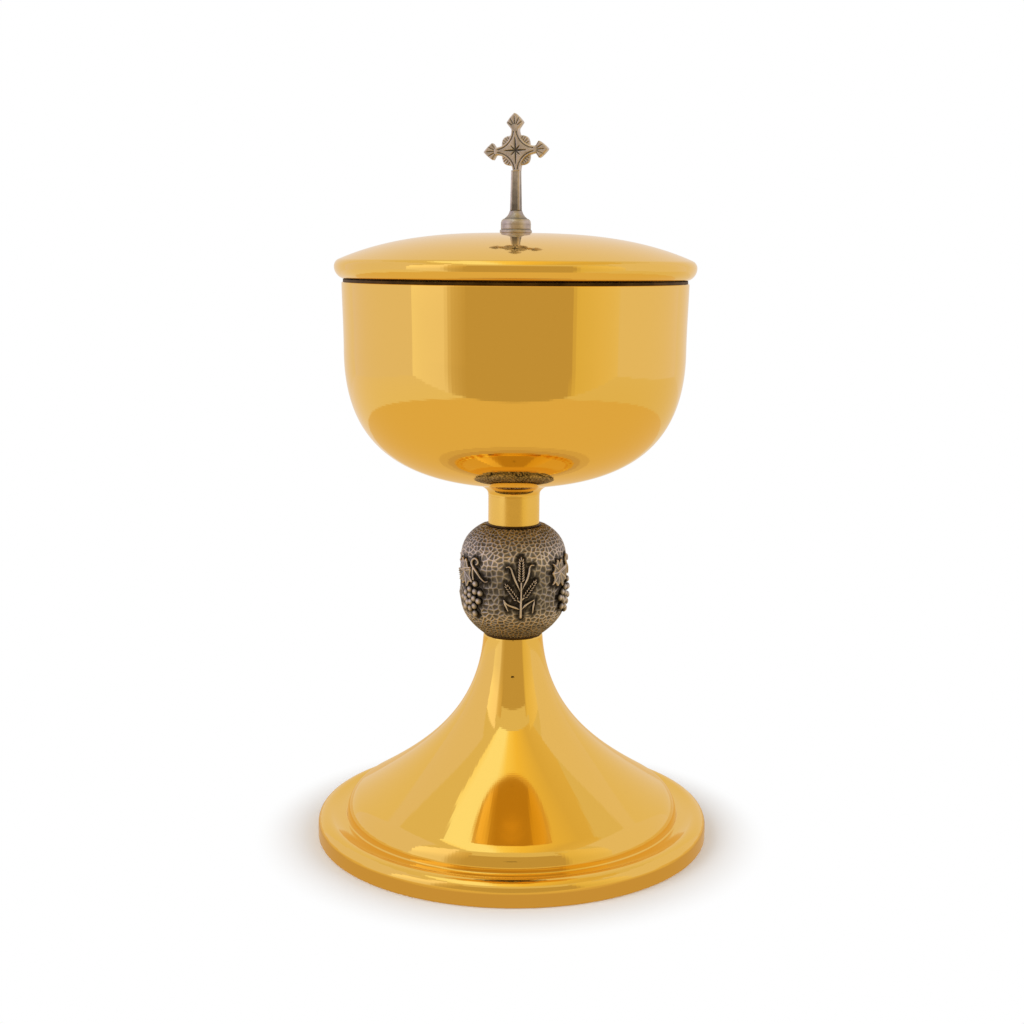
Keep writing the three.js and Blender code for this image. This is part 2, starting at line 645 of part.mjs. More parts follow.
// One arm of the cross, pointing along the given angle
function addArm(outline, degrees, reach) {
  const turn = radians(degrees);
  const place = (along, aside) => [
    along * Math.cos(turn) - aside * Math.sin(turn),
    along * Math.sin(turn) + aside * Math.cos(turn),
  ];
  const bud = reach - BUD_LENGTH;
  const pull = reach - BUD_POINT_LENGTH;
  outline.lineTo(...place(bud, -BUD_HALF));
  outline.quadraticCurveTo(...place(pull, -BUD_POINT_HALF), ...place(reach, 0));
  outline.quadraticCurveTo(...place(pull, BUD_POINT_HALF), ...place(bud, BUD_HALF));
}

// The hollow between two arms, on the diagonal at the given angle
function addHollow(outline, degrees) {
  const turn = radians(degrees);
  const away = Math.SQRT2 * hollowCentre;
  const [x, y] = [away * Math.cos(turn), away * Math.sin(turn)];
  outline.absarc(x, y, hollowRadius, turn - radians(135), turn - radians(225), true);
}

function crossHead() {
  const outline = new THREE.Shape();
  addHollow(outline, -45);
  addArm(outline, 0, SIDE_REACH);
  addHollow(outline, 45);
  addArm(outline, 90, TOP_REACH);
  addHollow(outline, 135);
  addArm(outline, 180, SIDE_REACH);
  addHollow(outline, 225);
  outline.closePath();
  return plate(outline, HEAD_DEPTH, 4);
}

function crossLobes() {
  const outline = new THREE.Shape();
  const steps = 24;
  for (let i = 0; i < steps; i++) {
    const angle = (2 * Math.PI * i) / steps;
    const [x, y] = [Math.cos(angle), Math.sin(angle)];
    const squared = Math.abs(x) ** LOBE_SQUARENESS + Math.abs(y) ** LOBE_SQUARENESS;
    const reach = LOBE_HALF / squared ** (1 / LOBE_SQUARENESS);
    if (i === 0) outline.moveTo(reach * x, reach * y);
    else outline.lineTo(reach * x, reach * y);
  }
  outline.closePath();
  return plate(outline, LOBE_DEPTH, 1);
}

// A flat piece standing upright, with its middle plane on Y = 0
function plate(outline, depth, curveSegments) {
  const bevel = { bevelSegments: 1, bevelSize: HEAD_BEVEL, bevelOffset: -HEAD_BEVEL, bevelThickness: HEAD_BEVEL };
  const flat = new THREE.ExtrudeGeometry(outline, { depth: depth - 2 * HEAD_BEVEL, curveSegments, ...bevel });
  flat.translate(0, 0, HEAD_BEVEL - depth / 2);
  return flat.rotateX(Math.PI / 2).translate(0, 0, HEAD_CENTRE_HEIGHT);
}

function crossShaft() {
  const overlap = 0.5;
  const height = HEAD_CENTRE_HEIGHT - hollowCentre + overlap;
  const shaft = new THREE.BoxGeometry(1, 1, height).translate(0, 0, height / 2);
  const places = shaft.attributes.position;
  for (let i = 0; i < places.count; i++) {
    const share = places.getZ(i) / height;
    const width = THREE.MathUtils.lerp(SHAFT_FOOT_WIDTH, 2 * ARM_NECK_HALF, share);
    const depth = THREE.MathUtils.lerp(SHAFT_FOOT_DEPTH, SHAFT_TOP_DEPTH, share);
    places.setXY(i, places.getX(i) * width, places.getY(i) * depth);
  }
  return shaft;
}

function finialCross() {
  const tenon = rod(TENON_RADIUS, FIT - SOCKET_DEPTH, TENON_ROOT, SMALL_STEPS);
  return joined([crossHead(), crossLobes(), crossShaft(), tenon]);
}

// Assembly

function piece(name, geometry, finish, height = 0) {
  const mesh = new THREE.Mesh(geometry, new THREE.MeshStandardMaterial(finish));
  mesh.name = name;
  mesh.position.z = height;
  return mesh;
}

const washerTop = FOOT_HEIGHT - FOOT_WALL;
const springTop = washerTop - CLAMP_WASHER_HEIGHT;
const nutTop = springTop - SPRING_WASHER_HEIGHT;
const rodBottom = nutTop - CLAMP_NUT_HEIGHT - ROD_END_BELOW_NUT;
const rodTop = bossShoulder - SPIGOT_LENGTH + ROD_IN_BOSS;

const stand = new THREE.Group();
stand.add(
  piece('foot_shell', footShell(), gold),
  piece('foot_rim_ring', footRimRing(), brass),
  piece('knop_bottom_ring', tube(KNOP_LOW_END_RADIUS - STEM_RING_INSET, rodHole, 0, STEM_RING_HEIGHT,
    TURNED_STEPS), darkSilver, FOOT_HEIGHT),
  piece('knop', knop(), antiqueSilver, knopBottom),
  piece('knop_sleeve', tube(sleeveRadius, rodHole, 0, KNOP_HEIGHT, SMALL_STEPS), brass, knopBottom),
  piece('knop_top_ring', tube(KNOP_HIGH_END_RADIUS - STEM_RING_INSET, rodHole, 0, STEM_RING_HEIGHT,
    TURNED_STEPS), darkSilver, knopTop),
  piece('stem_collar', tube(COLLAR_RADIUS, collarBore, 0, COLLAR_HEIGHT, TURNED_STEPS), gold, collarBottom),
  piece('cup_boss', cupBoss(), gold, bossShoulder),
  piece('cup_bowl', bowl(), gold, bowlBottom),
  piece('stem_rod', rod(ROD_RADIUS, rodBottom, rodTop, SMALL_STEPS), steel),
  piece('clamp_washer', tube(CLAMP_WASHER_RADIUS, rodHole, -CLAMP_WASHER_HEIGHT, 0, TURNED_STEPS), steel,
    washerTop),
  piece('spring_washer', springWasher(), steel, nutTop),
  piece('clamp_nut', hexNut(CLAMP_NUT_FLATS, ROD_RADIUS + THREAD_FIT, CLAMP_NUT_HEIGHT), steel,
    nutTop - CLAMP_NUT_HEIGHT),
);

const finialSeat = crownHeight - LID_WALL;
const finialNutTop = finialSeat - FINIAL_WASHER_HEIGHT;
const studBottom = finialNutTop - FINIAL_NUT_HEIGHT - STUD_END_BELOW_NUT;

const lid = new THREE.Group();
lid.add(
  piece('lid_dome', lidDome(), gold),
  piece('lid_flange', lidRing(), gold),
  piece('finial_bell', finialBell(), antiqueSilver, crownHeight),
  piece('finial_cross', finialCross(), antiqueSilver, shaftFoot),
  piece('finial_stud', rod(STUD_RADIUS, studBottom, crownHeight + STUD_IN_BELL, SMALL_STEPS), steel),
  piece('finial_washer', tube(FINIAL_WASHER_RADIUS, STUD_RADIUS + STUD_HOLE_PLAY, -FINIAL_WASHER_HEIGHT, 0,
    SMALL_STEPS), brass, finialSeat),
  piece('finial_nut', hexNut(FINIAL_NUT_FLATS, STUD_RADIUS + THREAD_FIT, FINIAL_NUT_HEIGHT), brass,
    finialNutTop - FINIAL_NUT_HEIGHT),
);

const ciborium = new THREE.Group();
ciborium.add(stand, lid);

export default ciborium;
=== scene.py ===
# %% [markdown]
# A ciborium is the covered cup that holds the hosts on an altar. This one is spun
# brass, gold plated and polished like a mirror, with a cast knop and a small cast
# cross in darkened silver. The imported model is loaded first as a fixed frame: every
# piece made below takes the place of one of its nodes and rides on one of its two
# bodies, the stand and the loose lid.
# %% Load the frame
import math

import bmesh
import bpy
import numpy as np
from mathutils import Matrix, Vector
from mathutils.geometry import delaunay_2d_cdt


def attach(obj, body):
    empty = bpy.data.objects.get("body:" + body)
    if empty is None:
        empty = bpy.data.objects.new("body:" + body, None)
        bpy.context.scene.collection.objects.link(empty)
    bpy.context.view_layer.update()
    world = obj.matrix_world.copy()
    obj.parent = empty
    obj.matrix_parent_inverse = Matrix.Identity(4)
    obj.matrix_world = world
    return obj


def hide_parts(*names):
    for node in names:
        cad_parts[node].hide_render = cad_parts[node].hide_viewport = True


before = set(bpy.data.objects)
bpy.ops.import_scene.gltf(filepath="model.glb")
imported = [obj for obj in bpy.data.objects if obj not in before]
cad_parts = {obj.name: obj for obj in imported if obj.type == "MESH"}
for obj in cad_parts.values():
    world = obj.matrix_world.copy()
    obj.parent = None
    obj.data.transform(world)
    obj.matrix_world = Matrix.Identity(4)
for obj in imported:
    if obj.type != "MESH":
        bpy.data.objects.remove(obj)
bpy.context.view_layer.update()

# %% [markdown]
# The camera stands a little above the lip of the cup and looks slightly down. It is
# turned 15 degrees round from the front of the cross, and close, so the foot is seen
# from above while the lip is almost level with the eye.
# %% Camera
VIEW_TURN = math.radians(15.08)
VIEW_AIM = math.radians(0.071)
VIEW_DOWN = math.radians(9.69)
VIEW_ROLL = math.radians(0.4)
CAMERA_DISTANCE, CAMERA_HEIGHT = 0.5007, 0.1981
FILM_WIDTH, FOCAL_LENGTH, NEAREST_SEEN = 36, 52.49, 0.01

camera = bpy.data.objects.new("camera", bpy.data.cameras.new("camera"))
camera.data.sensor_width = FILM_WIDTH
camera.data.lens = FOCAL_LENGTH
camera.data.clip_start = NEAREST_SEEN
camera.matrix_world = (
    Matrix.Translation((
        CAMERA_DISTANCE * math.sin(VIEW_TURN),
        -CAMERA_DISTANCE * math.cos(VIEW_TURN),
        CAMERA_HEIGHT,
    ))
    @ Matrix.Rotation(VIEW_TURN + VIEW_AIM, 4, "Z")
    @ Matrix.Rotation(math.pi / 2 - VIEW_DOWN, 4, "X")
    @ Matrix.Rotation(VIEW_ROLL, 4, "Z")
)
scene = bpy.context.scene
scene.collection.objects.link(camera)
scene.camera = camera
scene.view_settings.view_transform = "Standard"
print("camera at", [round(v, 4) for v in camera.matrix_world.translation])

# %% [markdown]
# Materials and Geometry Nodes are both trees of nodes. One helper adds a node and sets
# its options. It hands the inputs to a second one, which links a node or a socket and
# writes down anything else. Most nodes only calculate, so a third writes such a node
# like a formula. The next turns the hex code of a colour, as a painter would note it,
# into the linear values that Blender wants, and another fills a colour ramp. Every
# finish of the cup is a metal, so the last one starts a material as a metal.
# %% Helpers for nodes and colours
def feed(node, inputs):
    for key, value in inputs.items():
        if isinstance(value, bpy.types.Node):
            value = value.outputs[0]
        if isinstance(value, bpy.types.NodeSocket):
            node.id_data.links.new(value, node.inputs[key])
        else:
            node.inputs[key].default_value = value
    return node


def add(tree, kind, inputs=None, **settings):
    node = tree.nodes.new(kind)
    for name, value in settings.items():
        setattr(node, name, value)
    return feed(node, inputs or {})


def calc(tree, operation, *values, **settings):
    return add(tree, "ShaderNodeMath", dict(enumerate(values)), operation=operation, **settings)


def linear(code):
    parts = [int(code[i:i + 2], 16) / 255 for i in (1, 3, 5)]
    return (*[p / 12.92 if p <= 0.04045 else ((p + 0.055) / 1.055) ** 2.4 for p in parts], 1)


def set_stops(ramp, stops):
    ramp.elements.remove(ramp.elements[-1])
    for number, (spot, code) in enumerate(stops):
        stop = ramp.elements.new(spot) if number else ramp.elements[0]
        stop.position, stop.color = spot, linear(code)


def new_metal(name, code=None):
    material = bpy.data.materials.new(name)
    material.use_nodes = True
    tree = material.node_tree
    shader = feed(tree.nodes["Principled BSDF"], {"Metallic": 1.0})
    if code:
        feed(shader, {"Base Color": linear(code)})
    return material, tree, shader, add(tree, "ShaderNodeTexCoord").outputs["Object"]


print("gold, for instance, is", [round(v, 3) for v in linear("#F4CE66")])

# %% [markdown]
# A mirror shows the room more than itself, so the room is part of the look. The
# real cup stood in a tent of white cloth with an open front. Cards that only
# reflections see stand for it: the back, the roof and the sides of the tent, two flaps
# and a narrow valance round the opening, the darker room behind it, a lamp panel over
# the cup, the round table top with cloth beyond it, and the dark front of the camera.
# Cloth is never lit evenly, so its colour changes from left to right.
# %% Cards that only reflections see
TENT_FRONT, TENT_BACK, TENT_HALF, TENT_TOP = 0.355, 0.8, 0.9, 1.2
OPENING_HALF, OPENING_TOP = 0.33, 0.44
FLAP_LEFT_EDGE, FLAP_RIGHT_EDGE, FLAP_TOP, VALANCE_TOP = -0.2, 0.24, 0.62, 0.53
CLIMB_LOW, CLIMB_HIGH = 0.12, 0.3
ROOM_HALF, ROOM_AWAY = 1.4, 0.9
ROOF_HALF = 3.0
around = Matrix.Rotation(VIEW_TURN, 4, "Z")


def glow(name, code):
    material = bpy.data.materials.new(name)
    material.use_nodes = True
    tree = material.node_tree
    tree.nodes.remove(tree.nodes["Principled BSDF"])
    feed(tree.nodes["Material Output"], {"Surface": add(tree, "ShaderNodeEmission", {"Color": linear(code)})})
    return material


def shaded_glow(name, stops, strength=1.0, rise=1.0):
    material = glow(name, stops[0][1])
    tree = material.node_tree
    place = add(tree, "ShaderNodeTexCoord").outputs["Object"]
    across = add(tree, "ShaderNodeVectorMath", {
        0: place, 1: (math.cos(VIEW_TURN), math.sin(VIEW_TURN), 0.0)}, operation="DOT_PRODUCT")
    share = add(tree, "ShaderNodeMapRange", {
        "Value": across.outputs["Value"], "From Min": -TENT_HALF, "From Max": TENT_HALF})
    cloth = add(tree, "ShaderNodeValToRGB", {"Fac": share})
    set_stops(cloth.color_ramp, [((x + TENT_HALF) / 2 / TENT_HALF, code) for x, code in stops])
    up = add(tree, "ShaderNodeSeparateXYZ", {0: place})
    climb = add(tree, "ShaderNodeMapRange", {
        "Value": up.outputs[2], "From Min": CLIMB_LOW, "From Max": CLIMB_HIGH,
        "To Min": strength, "To Max": strength * rise})
    feed(tree.nodes["Emission"], {"Color": cloth.outputs["Color"], "Strength": climb})
    return material


def card(name, corners, material):
    mesh = bpy.data.meshes.new(name)
    mesh.from_pydata([around @ Vector(c) for c in corners], [], [list(range(len(corners)))])
    mesh.materials.append(material)
    obj = bpy.data.objects.new(name, mesh)
    scene.collection.objects.link(obj)
    obj.visible_camera = obj.visible_diffuse = obj.visible_shadow = False


def upright(name, left, right, low, high, away, material):
    card(name, [(left, -away, low), (right, -away, low), (right, -away, high), (left, -away, high)], material)


def level_card(name, half, near, far, height, material):
    card(name, [(-half, -near, height), (half, -near, height), (half, far, height), (-half, far, height)],
         material)


def circle(steps):
    return [(math.cos(a), math.sin(a)) for a in np.linspace(0, 2 * math.pi, steps, endpoint=False)]


print("tent", 2 * TENT_HALF, "m wide")

# %% [markdown]
# Left and right are the camera's own here, and the helpers turn the whole tent with
# it. The flaps and the cloth on the table change colour across the view, and the flaps
# get brighter on the way up. Three discs stand for the table top and for the shade
# that the foot throws on it, which the gold close to the table shows.
# %% Tent, room and table
cloth_above = glow("cloth_above", "#E8D8C3")
dark_room = glow("dark_room", "#CAB189")
flap_left = shaded_glow("flap_cloth_left", [
    (-0.9, "#FFF6FF"), (-0.34, "#F6EAF4"), (-0.29, "#D9C4AC"), (-0.2, "#CAB189")], rise=1.18)
flap_right = shaded_glow("flap_cloth_right", [
    (0.24, "#D1B889"), (0.28, "#E8D29C"), (0.5, "#EED9B0"), (0.88, "#F0DFCA")], rise=1.07)
cloth_foot = shaded_glow("cloth_at_the_foot", [
    (-0.9, "#EEE0E4"), (-0.3, "#F0E2D8"), (0.3, "#EAD8BC"), (0.9, "#EBDAC6")])
panel = shaded_glow("lamp_panel", [
    (-0.62, "#FFF4DC"), (-0.5, "#FFFFFF"), (-0.22, "#FFFFFF"), (-0.1, "#FBE7A6"), (0.1, "#F3D57E"),
    (0.5, "#DBC187"), (0.87, "#E0C898")], strength=1.1)

upright("flap_left", -TENT_HALF, FLAP_LEFT_EDGE, 0.0, OPENING_TOP, TENT_FRONT, flap_left)
upright("flap_left_high", -TENT_HALF, -OPENING_HALF, OPENING_TOP, FLAP_TOP, TENT_FRONT, flap_left)
upright("flap_right", FLAP_RIGHT_EDGE, TENT_HALF, 0.0, OPENING_TOP, TENT_FRONT, flap_right)
upright("flap_right_high", OPENING_HALF, TENT_HALF, OPENING_TOP, FLAP_TOP, TENT_FRONT, flap_right)
upright("valance", -OPENING_HALF, OPENING_HALF, OPENING_TOP, VALANCE_TOP, TENT_FRONT, cloth_above)
upright("room_behind", -ROOM_HALF, ROOM_HALF, -0.6, 0.8, ROOM_AWAY, dark_room)
upright("tent_back", -TENT_HALF, TENT_HALF, 0.0, TENT_TOP, -TENT_BACK, glow("cloth_behind", "#EDDED0"))
level_card("room_floor", ROOM_HALF, ROOM_AWAY, -TENT_FRONT, 0.0003, dark_room)
level_card("cloth_on_the_table", TENT_HALF, TENT_FRONT, TENT_BACK, -0.00007, cloth_foot)
for name, reach, height, code in (
        ("table_top", 0.4, -0.00004, "#E8CC9F"), ("half_shade", 0.093, -0.00003, "#DCBF95"),
        ("shade", 0.079, -0.00002, "#D0B08A")):
    card(name, [(reach * c, reach * s, height) for c, s in circle(96)], glow("cloth_of_" + name, code))
level_card("roof", ROOF_HALF, ROOF_HALF, ROOF_HALF, TENT_TOP + 0.02, cloth_above)
card("lamp_panel", [(x, y, TENT_TOP) for x, y in (
    (-0.5, -0.83), (0.85, -0.83), (0.92, -0.3), (0.87, 0.07), (0.73, 0.25), (0.6, 0.36), (-0.48, 0.24),
    (-0.58, 0.15), (-0.63, -0.2), (-0.6, -0.6))], panel)
for x, code in ((-TENT_HALF, "#ECDFEC"), (TENT_HALF, "#EEE0E3")):
    card("wall", [(x, -TENT_FRONT, 0), (x, TENT_BACK, 0), (x, TENT_BACK, TENT_TOP), (x, -TENT_FRONT, TENT_TOP)],
         glow("cloth_at_the_side", code))

LENS_HALF_WIDTH, LENS_HALF_HEIGHT = 0.042, 0.006
lens_middle = Vector((0, -CAMERA_DISTANCE + 0.004, CAMERA_HEIGHT))
card("lens", [lens_middle + Vector((LENS_HALF_WIDTH * c, 0, LENS_HALF_HEIGHT * s)) for c, s in circle(32)],
     glow("lens_front", "#33281A"))
print("opening", 2 * OPENING_HALF, "x", OPENING_TOP, "m at", TENT_FRONT, "m in front")

# %% [markdown]
# The floor is pale and plain. Close to the foot it is a matt surface that takes the
# object's shadow, and further out it fades to the white of the backdrop, which the
# world gives to camera rays, reflections and transmission alike. All other rays see
# a dimmer world, and two large soft lamps make up the difference, so that a colour
# renders about as it is written.
# %% Floor, world and lamps
FADE_START, FADE_END = 0.0675, 0.09
FLOOR_HALF, FLOOR_DROP = 3.0, 0.0001
OTHER_RAYS = 0.62
LAMP_SIZE, LAMP_TARGET = 0.7, Vector((0, 0, 0.12))

floor_material = bpy.data.materials.new("pale_floor")
floor_material.use_nodes = True
tree = floor_material.node_tree
matt = feed(tree.nodes["Principled BSDF"], {
    "Base Color": linear("#F4F3F2"), "Roughness": 0.9, "Specular IOR Level": 0.0})
reach = add(tree, "ShaderNodeVectorMath", {
    0: add(tree, "ShaderNodeTexCoord").outputs["Object"]}, operation="LENGTH")
fade = add(tree, "ShaderNodeMapRange", {
    "Value": reach.outputs["Value"], "From Min": FADE_START, "From Max": FADE_END},
    interpolation_type="SMOOTHSTEP")
path = add(tree, "ShaderNodeLightPath")
shown = calc(tree, "ADD", path.outputs["Is Camera Ray"], path.outputs["Is Glossy Ray"], use_clamp=True)
seen = calc(tree, "MULTIPLY", fade, shown)
white = add(tree, "ShaderNodeEmission", {"Strength": 1.0})
mixed = add(tree, "ShaderNodeMixShader", {0: seen, 1: matt, 2: white})
feed(tree.nodes["Material Output"], {"Surface": mixed})

floor_mesh = bpy.data.meshes.new("floor")
floor_mesh.from_pydata([(x * FLOOR_HALF, y * FLOOR_HALF, 0) for x, y in ((-1, -1), (1, -1), (1, 1), (-1, 1))],
                       [], [(0, 1, 2, 3)])
floor_mesh.materials.append(floor_material)
floor = bpy.data.objects.new("floor", floor_mesh)
floor.location.z = -FLOOR_DROP
scene.collection.objects.link(floor)

world = bpy.data.worlds.new("studio")
scene.world = world
world.use_nodes = True
tree = world.node_tree
path = add(tree, "ShaderNodeLightPath")
shown = path.outputs["Is Camera Ray"]
for kind in ("Is Glossy Ray", "Is Transmission Ray"):
    shown = calc(tree, "MAXIMUM", shown, path.outputs[kind])
level = add(tree, "ShaderNodeMapRange", {"Value": shown, "To Min": OTHER_RAYS, "To Max": 1.0})
feed(tree.nodes["Background"], {"Color": (1, 1, 1, 1), "Strength": level})

for name, place, power in (("lamp_left", (-0.75, -0.45, 0.75), 4.2), ("lamp_right", (0.8, -0.3, 0.6), 2.2)):
    lamp = bpy.data.objects.new(name, bpy.data.lights.new(name, "AREA"))
    lamp.data.size = LAMP_SIZE
    lamp.data.energy = power
    lamp.location = around @ Vector(place)
    lamp.rotation_euler = (LAMP_TARGET - lamp.location).to_track_quat("-Z", "Y").to_euler()
    lamp.visible_glossy = False
    scene.collection.objects.link(lamp)

# %% [markdown]
# The gold is a thin bright gold plate over brass that was spun, then polished on
# a cloth wheel. The eye sees a nearly perfect mirror with a warm yellow tint, very
# slightly wavy from the spinning, with faint wiping marks that show only as a soft
# change in sharpness. A metal keeps the default IOR: its colour is all in the base.
# %% Polished gold plate
GOLD = "#F4CE66"


def gold_finish(name, patch, detail, smoothest, roughest):
    material, tree, shader, place = new_metal(name, GOLD)
    wiped = add(tree, "ShaderNodeTexNoise", {"Vector": place, "Scale": 1 / patch, "Detail": detail})
    feed(shader, {"Roughness": add(tree, "ShaderNodeMapRange", {
        "Value": wiped.outputs["Fac"], "From Min": 0.3, "From Max": 0.7,
        "To Min": smoothest, "To Max": roughest})})
    return material, tree, shader, place


gold_plate, tree, shader, place = gold_finish("polished_gold_plate", 0.022, 3.0, 0.035, 0.065)
waves = add(tree, "ShaderNodeTexNoise", {"Vector": place, "Scale": 1 / 0.028, "Detail": 1.0})
feed(shader, {"Normal": add(tree, "ShaderNodeBump", {
    "Height": waves.outputs["Fac"], "Distance": 0.00003, "Strength": 1.0})})

# the collar is brushed before plating, so what it mirrors is soft
satin_gold = gold_finish("brushed_gold_plate", 0.004, 2.0, 0.2, 0.26)[0]
print(gold_plate.name, satin_gold.name)

# %% [markdown]
# The castings are silver plated, darkened with liver of sulphur and rubbed back by
# hand, so the hollows stay nearly black and the high spots shine in a warm grey. Each
# casting carries an attribute named rub, 0 in the bottom of a hollow and 1 on
# a high spot, and the material follows it. On the beaten ground of the knop it also
# carries painted reflection, lighter bands on the shoulders and a darker band round the
# belly. Without the attribute it would need the real height of the surface, which a
# shader can't know.
# %% Antiqued silver
antique_silver, tree, shader, place = new_metal("antiqued_silver_plate")
# rubbed patina, and on the knop ground painted reflection bands as well
rub = add(tree, "ShaderNodeAttribute", attribute_name="rub").outputs["Fac"]
patches = add(tree, "ShaderNodeTexNoise", {"Vector": place, "Scale": 1 / 0.0022, "Detail": 4.0})
uneven = calc(tree, "MULTIPLY_ADD", patches.outputs["Fac"], 0.5, -0.25)
wear_and_sheen = calc(tree, "ADD", rub, uneven, use_clamp=True)
tone = add(tree, "ShaderNodeValToRGB", {"Fac": wear_and_sheen})
set_stops(tone.color_ramp, [(0.08, "#35322F"), (0.5, "#8A8781"), (0.95, "#D4CBC0")])
gloss = add(tree, "ShaderNodeMapRange", {"Value": wear_and_sheen, "To Min": 0.6, "To Max": 0.33})
skin = add(tree, "ShaderNodeTexNoise", {"Vector": place, "Scale": 1 / 0.0005, "Detail": 2.0})
grain = add(tree, "ShaderNodeBump", {"Height": skin.outputs["Fac"], "Distance": 0.00004, "Strength": 1.0})
feed(shader, {"Base Color": tone.outputs["Color"], "Roughness": gloss, "Normal": grain})
print(antique_silver.name)

# %% [markdown]
# The rings and the small fittings are turned on a lathe. The tool leaves fine rings
# round the axis, about a fifth of a millimetre apart, drawn here as bands along the
# height and the radius. Dark silver, brass and steel share one recipe with their own
# colour and gloss, because they share the way they were made. The dark of the silver is
# painted shade: it goes on the two thin rings at the ends of the knop, where the gaps
# are in shade.
# %% Turned metals
TOOL_MARK = 0.0002


def turned_metal(name, code, roughness):
    material, tree, shader, place = new_metal(name, code)
    parts = add(tree, "ShaderNodeSeparateXYZ", {0: place})
    flat = add(tree, "ShaderNodeCombineXYZ", {0: parts.outputs[0], 1: parts.outputs[1]})
    away = add(tree, "ShaderNodeVectorMath", {0: flat}, operation="LENGTH")
    along = calc(tree, "ADD", away.outputs["Value"], parts.outputs[2])
    rings = add(tree, "ShaderNodeTexNoise", {
        "W": along, "Scale": 1 / TOOL_MARK, "Detail": 1.0}, noise_dimensions="1D")
    dull = add(tree, "ShaderNodeMapRange", {
        "Value": rings.outputs["Fac"], "To Min": roughness - 0.08, "To Max": roughness + 0.08})
    cut = add(tree, "ShaderNodeBump", {"Height": rings.outputs["Fac"], "Distance": 0.00001, "Strength": 0.6})
    feed(shader, {"Roughness": dull, "Normal": cut})
    return material


# dark as painted shade, for the two thin rings in the shaded gaps at the knop's ends
dark_silver = turned_metal("darkened_turned_silver", "#4A3B2A", 0.4)
turned_brass = turned_metal("turned_brass", "#D9B36A", 0.28)
turned_steel = turned_metal("turned_steel", "#BDBDB8", 0.32)
print([m.name for m in (dark_silver, turned_brass, turned_steel)])

# %% [markdown]
# The ring soldered under the lid was plated with the rest, but no polishing wheel
# reaches it. Its lower part stays a satin gold, and in the corner under the bead it is
# painted dark brown, a painted shade for the deep gap over the lip, through which the
# eye sees only a dark line.
# %% Unpolished plate under the lid, with painted shade in the gap
CORNER_LOW, CORNER_HIGH = 0.1892, 0.1896
dull_plate, tree, shader, place = new_metal("unpolished_plate_with_handling_grime")
# painted shade: above the corner the ring turns dark brown, mottled by noise
shade_mottle = add(tree, "ShaderNodeTexNoise", {"Vector": place, "Scale": 1 / 0.006, "Detail": 3.0})
painted_gap_shade = add(tree, "ShaderNodeValToRGB", {"Fac": shade_mottle.outputs["Fac"]})
set_stops(painted_gap_shade.color_ramp, [(0.3, "#3A2A14"), (0.75, "#5E4722")])
height = add(tree, "ShaderNodeSeparateXYZ", {0: place})
corner = add(tree, "ShaderNodeMapRange", {
    "Value": height.outputs[2], "From Min": CORNER_LOW, "From Max": CORNER_HIGH},
    interpolation_type="SMOOTHSTEP")
plate = add(tree, "ShaderNodeMix", {
    "Factor": corner, "A": linear("#D8B45C"), "B": painted_gap_shade.outputs["Color"]}, data_type="RGBA")
satin = add(tree, "ShaderNodeMapRange", {"Value": corner, "To Min": 0.3, "To Max": 0.55})
feed(shader, {"Base Color": plate.outputs["Result"], "Roughness": satin})
print(dull_plate.name)

# %% [markdown]
# A spun shell and a turned fitting are both an outline turned about the axis. So one
# Geometry Nodes tree makes them all: the outline comes in as loose points, a grid has
# one row for each point and one column for each step, and every grid point goes to
# its row's radius and height at its column's angle. Merging closes the seam and the
# poles. The alternative, a Screw modifier, can't keep the number of rows in one place
# with the shading.
# %% The turning tree
def new_tree(name, sockets):
    tree = bpy.data.node_groups.new(name, "GeometryNodeTree")
    tree.interface.new_socket("Geometry", in_out="INPUT", socket_type="NodeSocketGeometry")
    for label, kind in sockets:
        tree.interface.new_socket(label, in_out="INPUT", socket_type=kind)
    tree.interface.new_socket("Geometry", in_out="OUTPUT", socket_type="NodeSocketGeometry")
    return tree, add(tree, "NodeGroupInput").outputs


def loose(mesh):
    obj = bpy.data.objects.new(mesh.name, mesh)
    scene.collection.objects.link(obj)
    return obj


def run_tree(obj, tree, values):
    modifier = obj.modifiers.new(tree.name, "NODES")
    modifier.node_group = tree
    for item in tree.interface.items_tree:
        if item.in_out == "INPUT" and item.name in values:
            modifier[item.identifier] = values[item.name]
    graph = bpy.context.evaluated_depsgraph_get()
    mesh = bpy.data.meshes.new_from_object(
        obj.evaluated_get(graph), preserve_all_data_layers=True, depsgraph=graph)
    name = obj.name
    bpy.data.objects.remove(obj)
    made = loose(mesh)
    made.name = mesh.name = name
    return made


ROUNDING_ROOM, SEAM_REACH = 0.0001, 0.000002
turning, given = new_tree("turn_about_the_axis", [
    ("Steps", "NodeSocketInt"), ("Sharp Angle", "NodeSocketFloat"), ("Material", "NodeSocketMaterial")])
count = add(turning, "GeometryNodeAttributeDomainSize", {0: given["Geometry"]})
columns = calc(turning, "ADD", given["Steps"], 1.0)
grid = add(turning, "GeometryNodeMeshGrid", {
    "Vertices X": count.outputs["Point Count"], "Vertices Y": columns})
index = add(turning, "GeometryNodeInputIndex")
share = calc(turning, "DIVIDE", index, columns)
shifted = calc(turning, "ADD", share, ROUNDING_ROOM)
row = calc(turning, "FLOOR", shifted)
rest = calc(turning, "SUBTRACT", share, row)
column = calc(turning, "MULTIPLY", rest, columns)
turn = calc(turning, "DIVIDE", column, given["Steps"])
spin = calc(turning, "MULTIPLY", turn, 2 * math.pi)
where = add(turning, "GeometryNodeInputPosition")
sample = add(turning, "GeometryNodeSampleIndex", {
    "Geometry": given["Geometry"], "Value": where, "Index": row}, data_type="FLOAT_VECTOR")
parts = add(turning, "ShaderNodeSeparateXYZ", {0: sample})
cosine = calc(turning, "COSINE", spin)
sine = calc(turning, "SINE", spin)
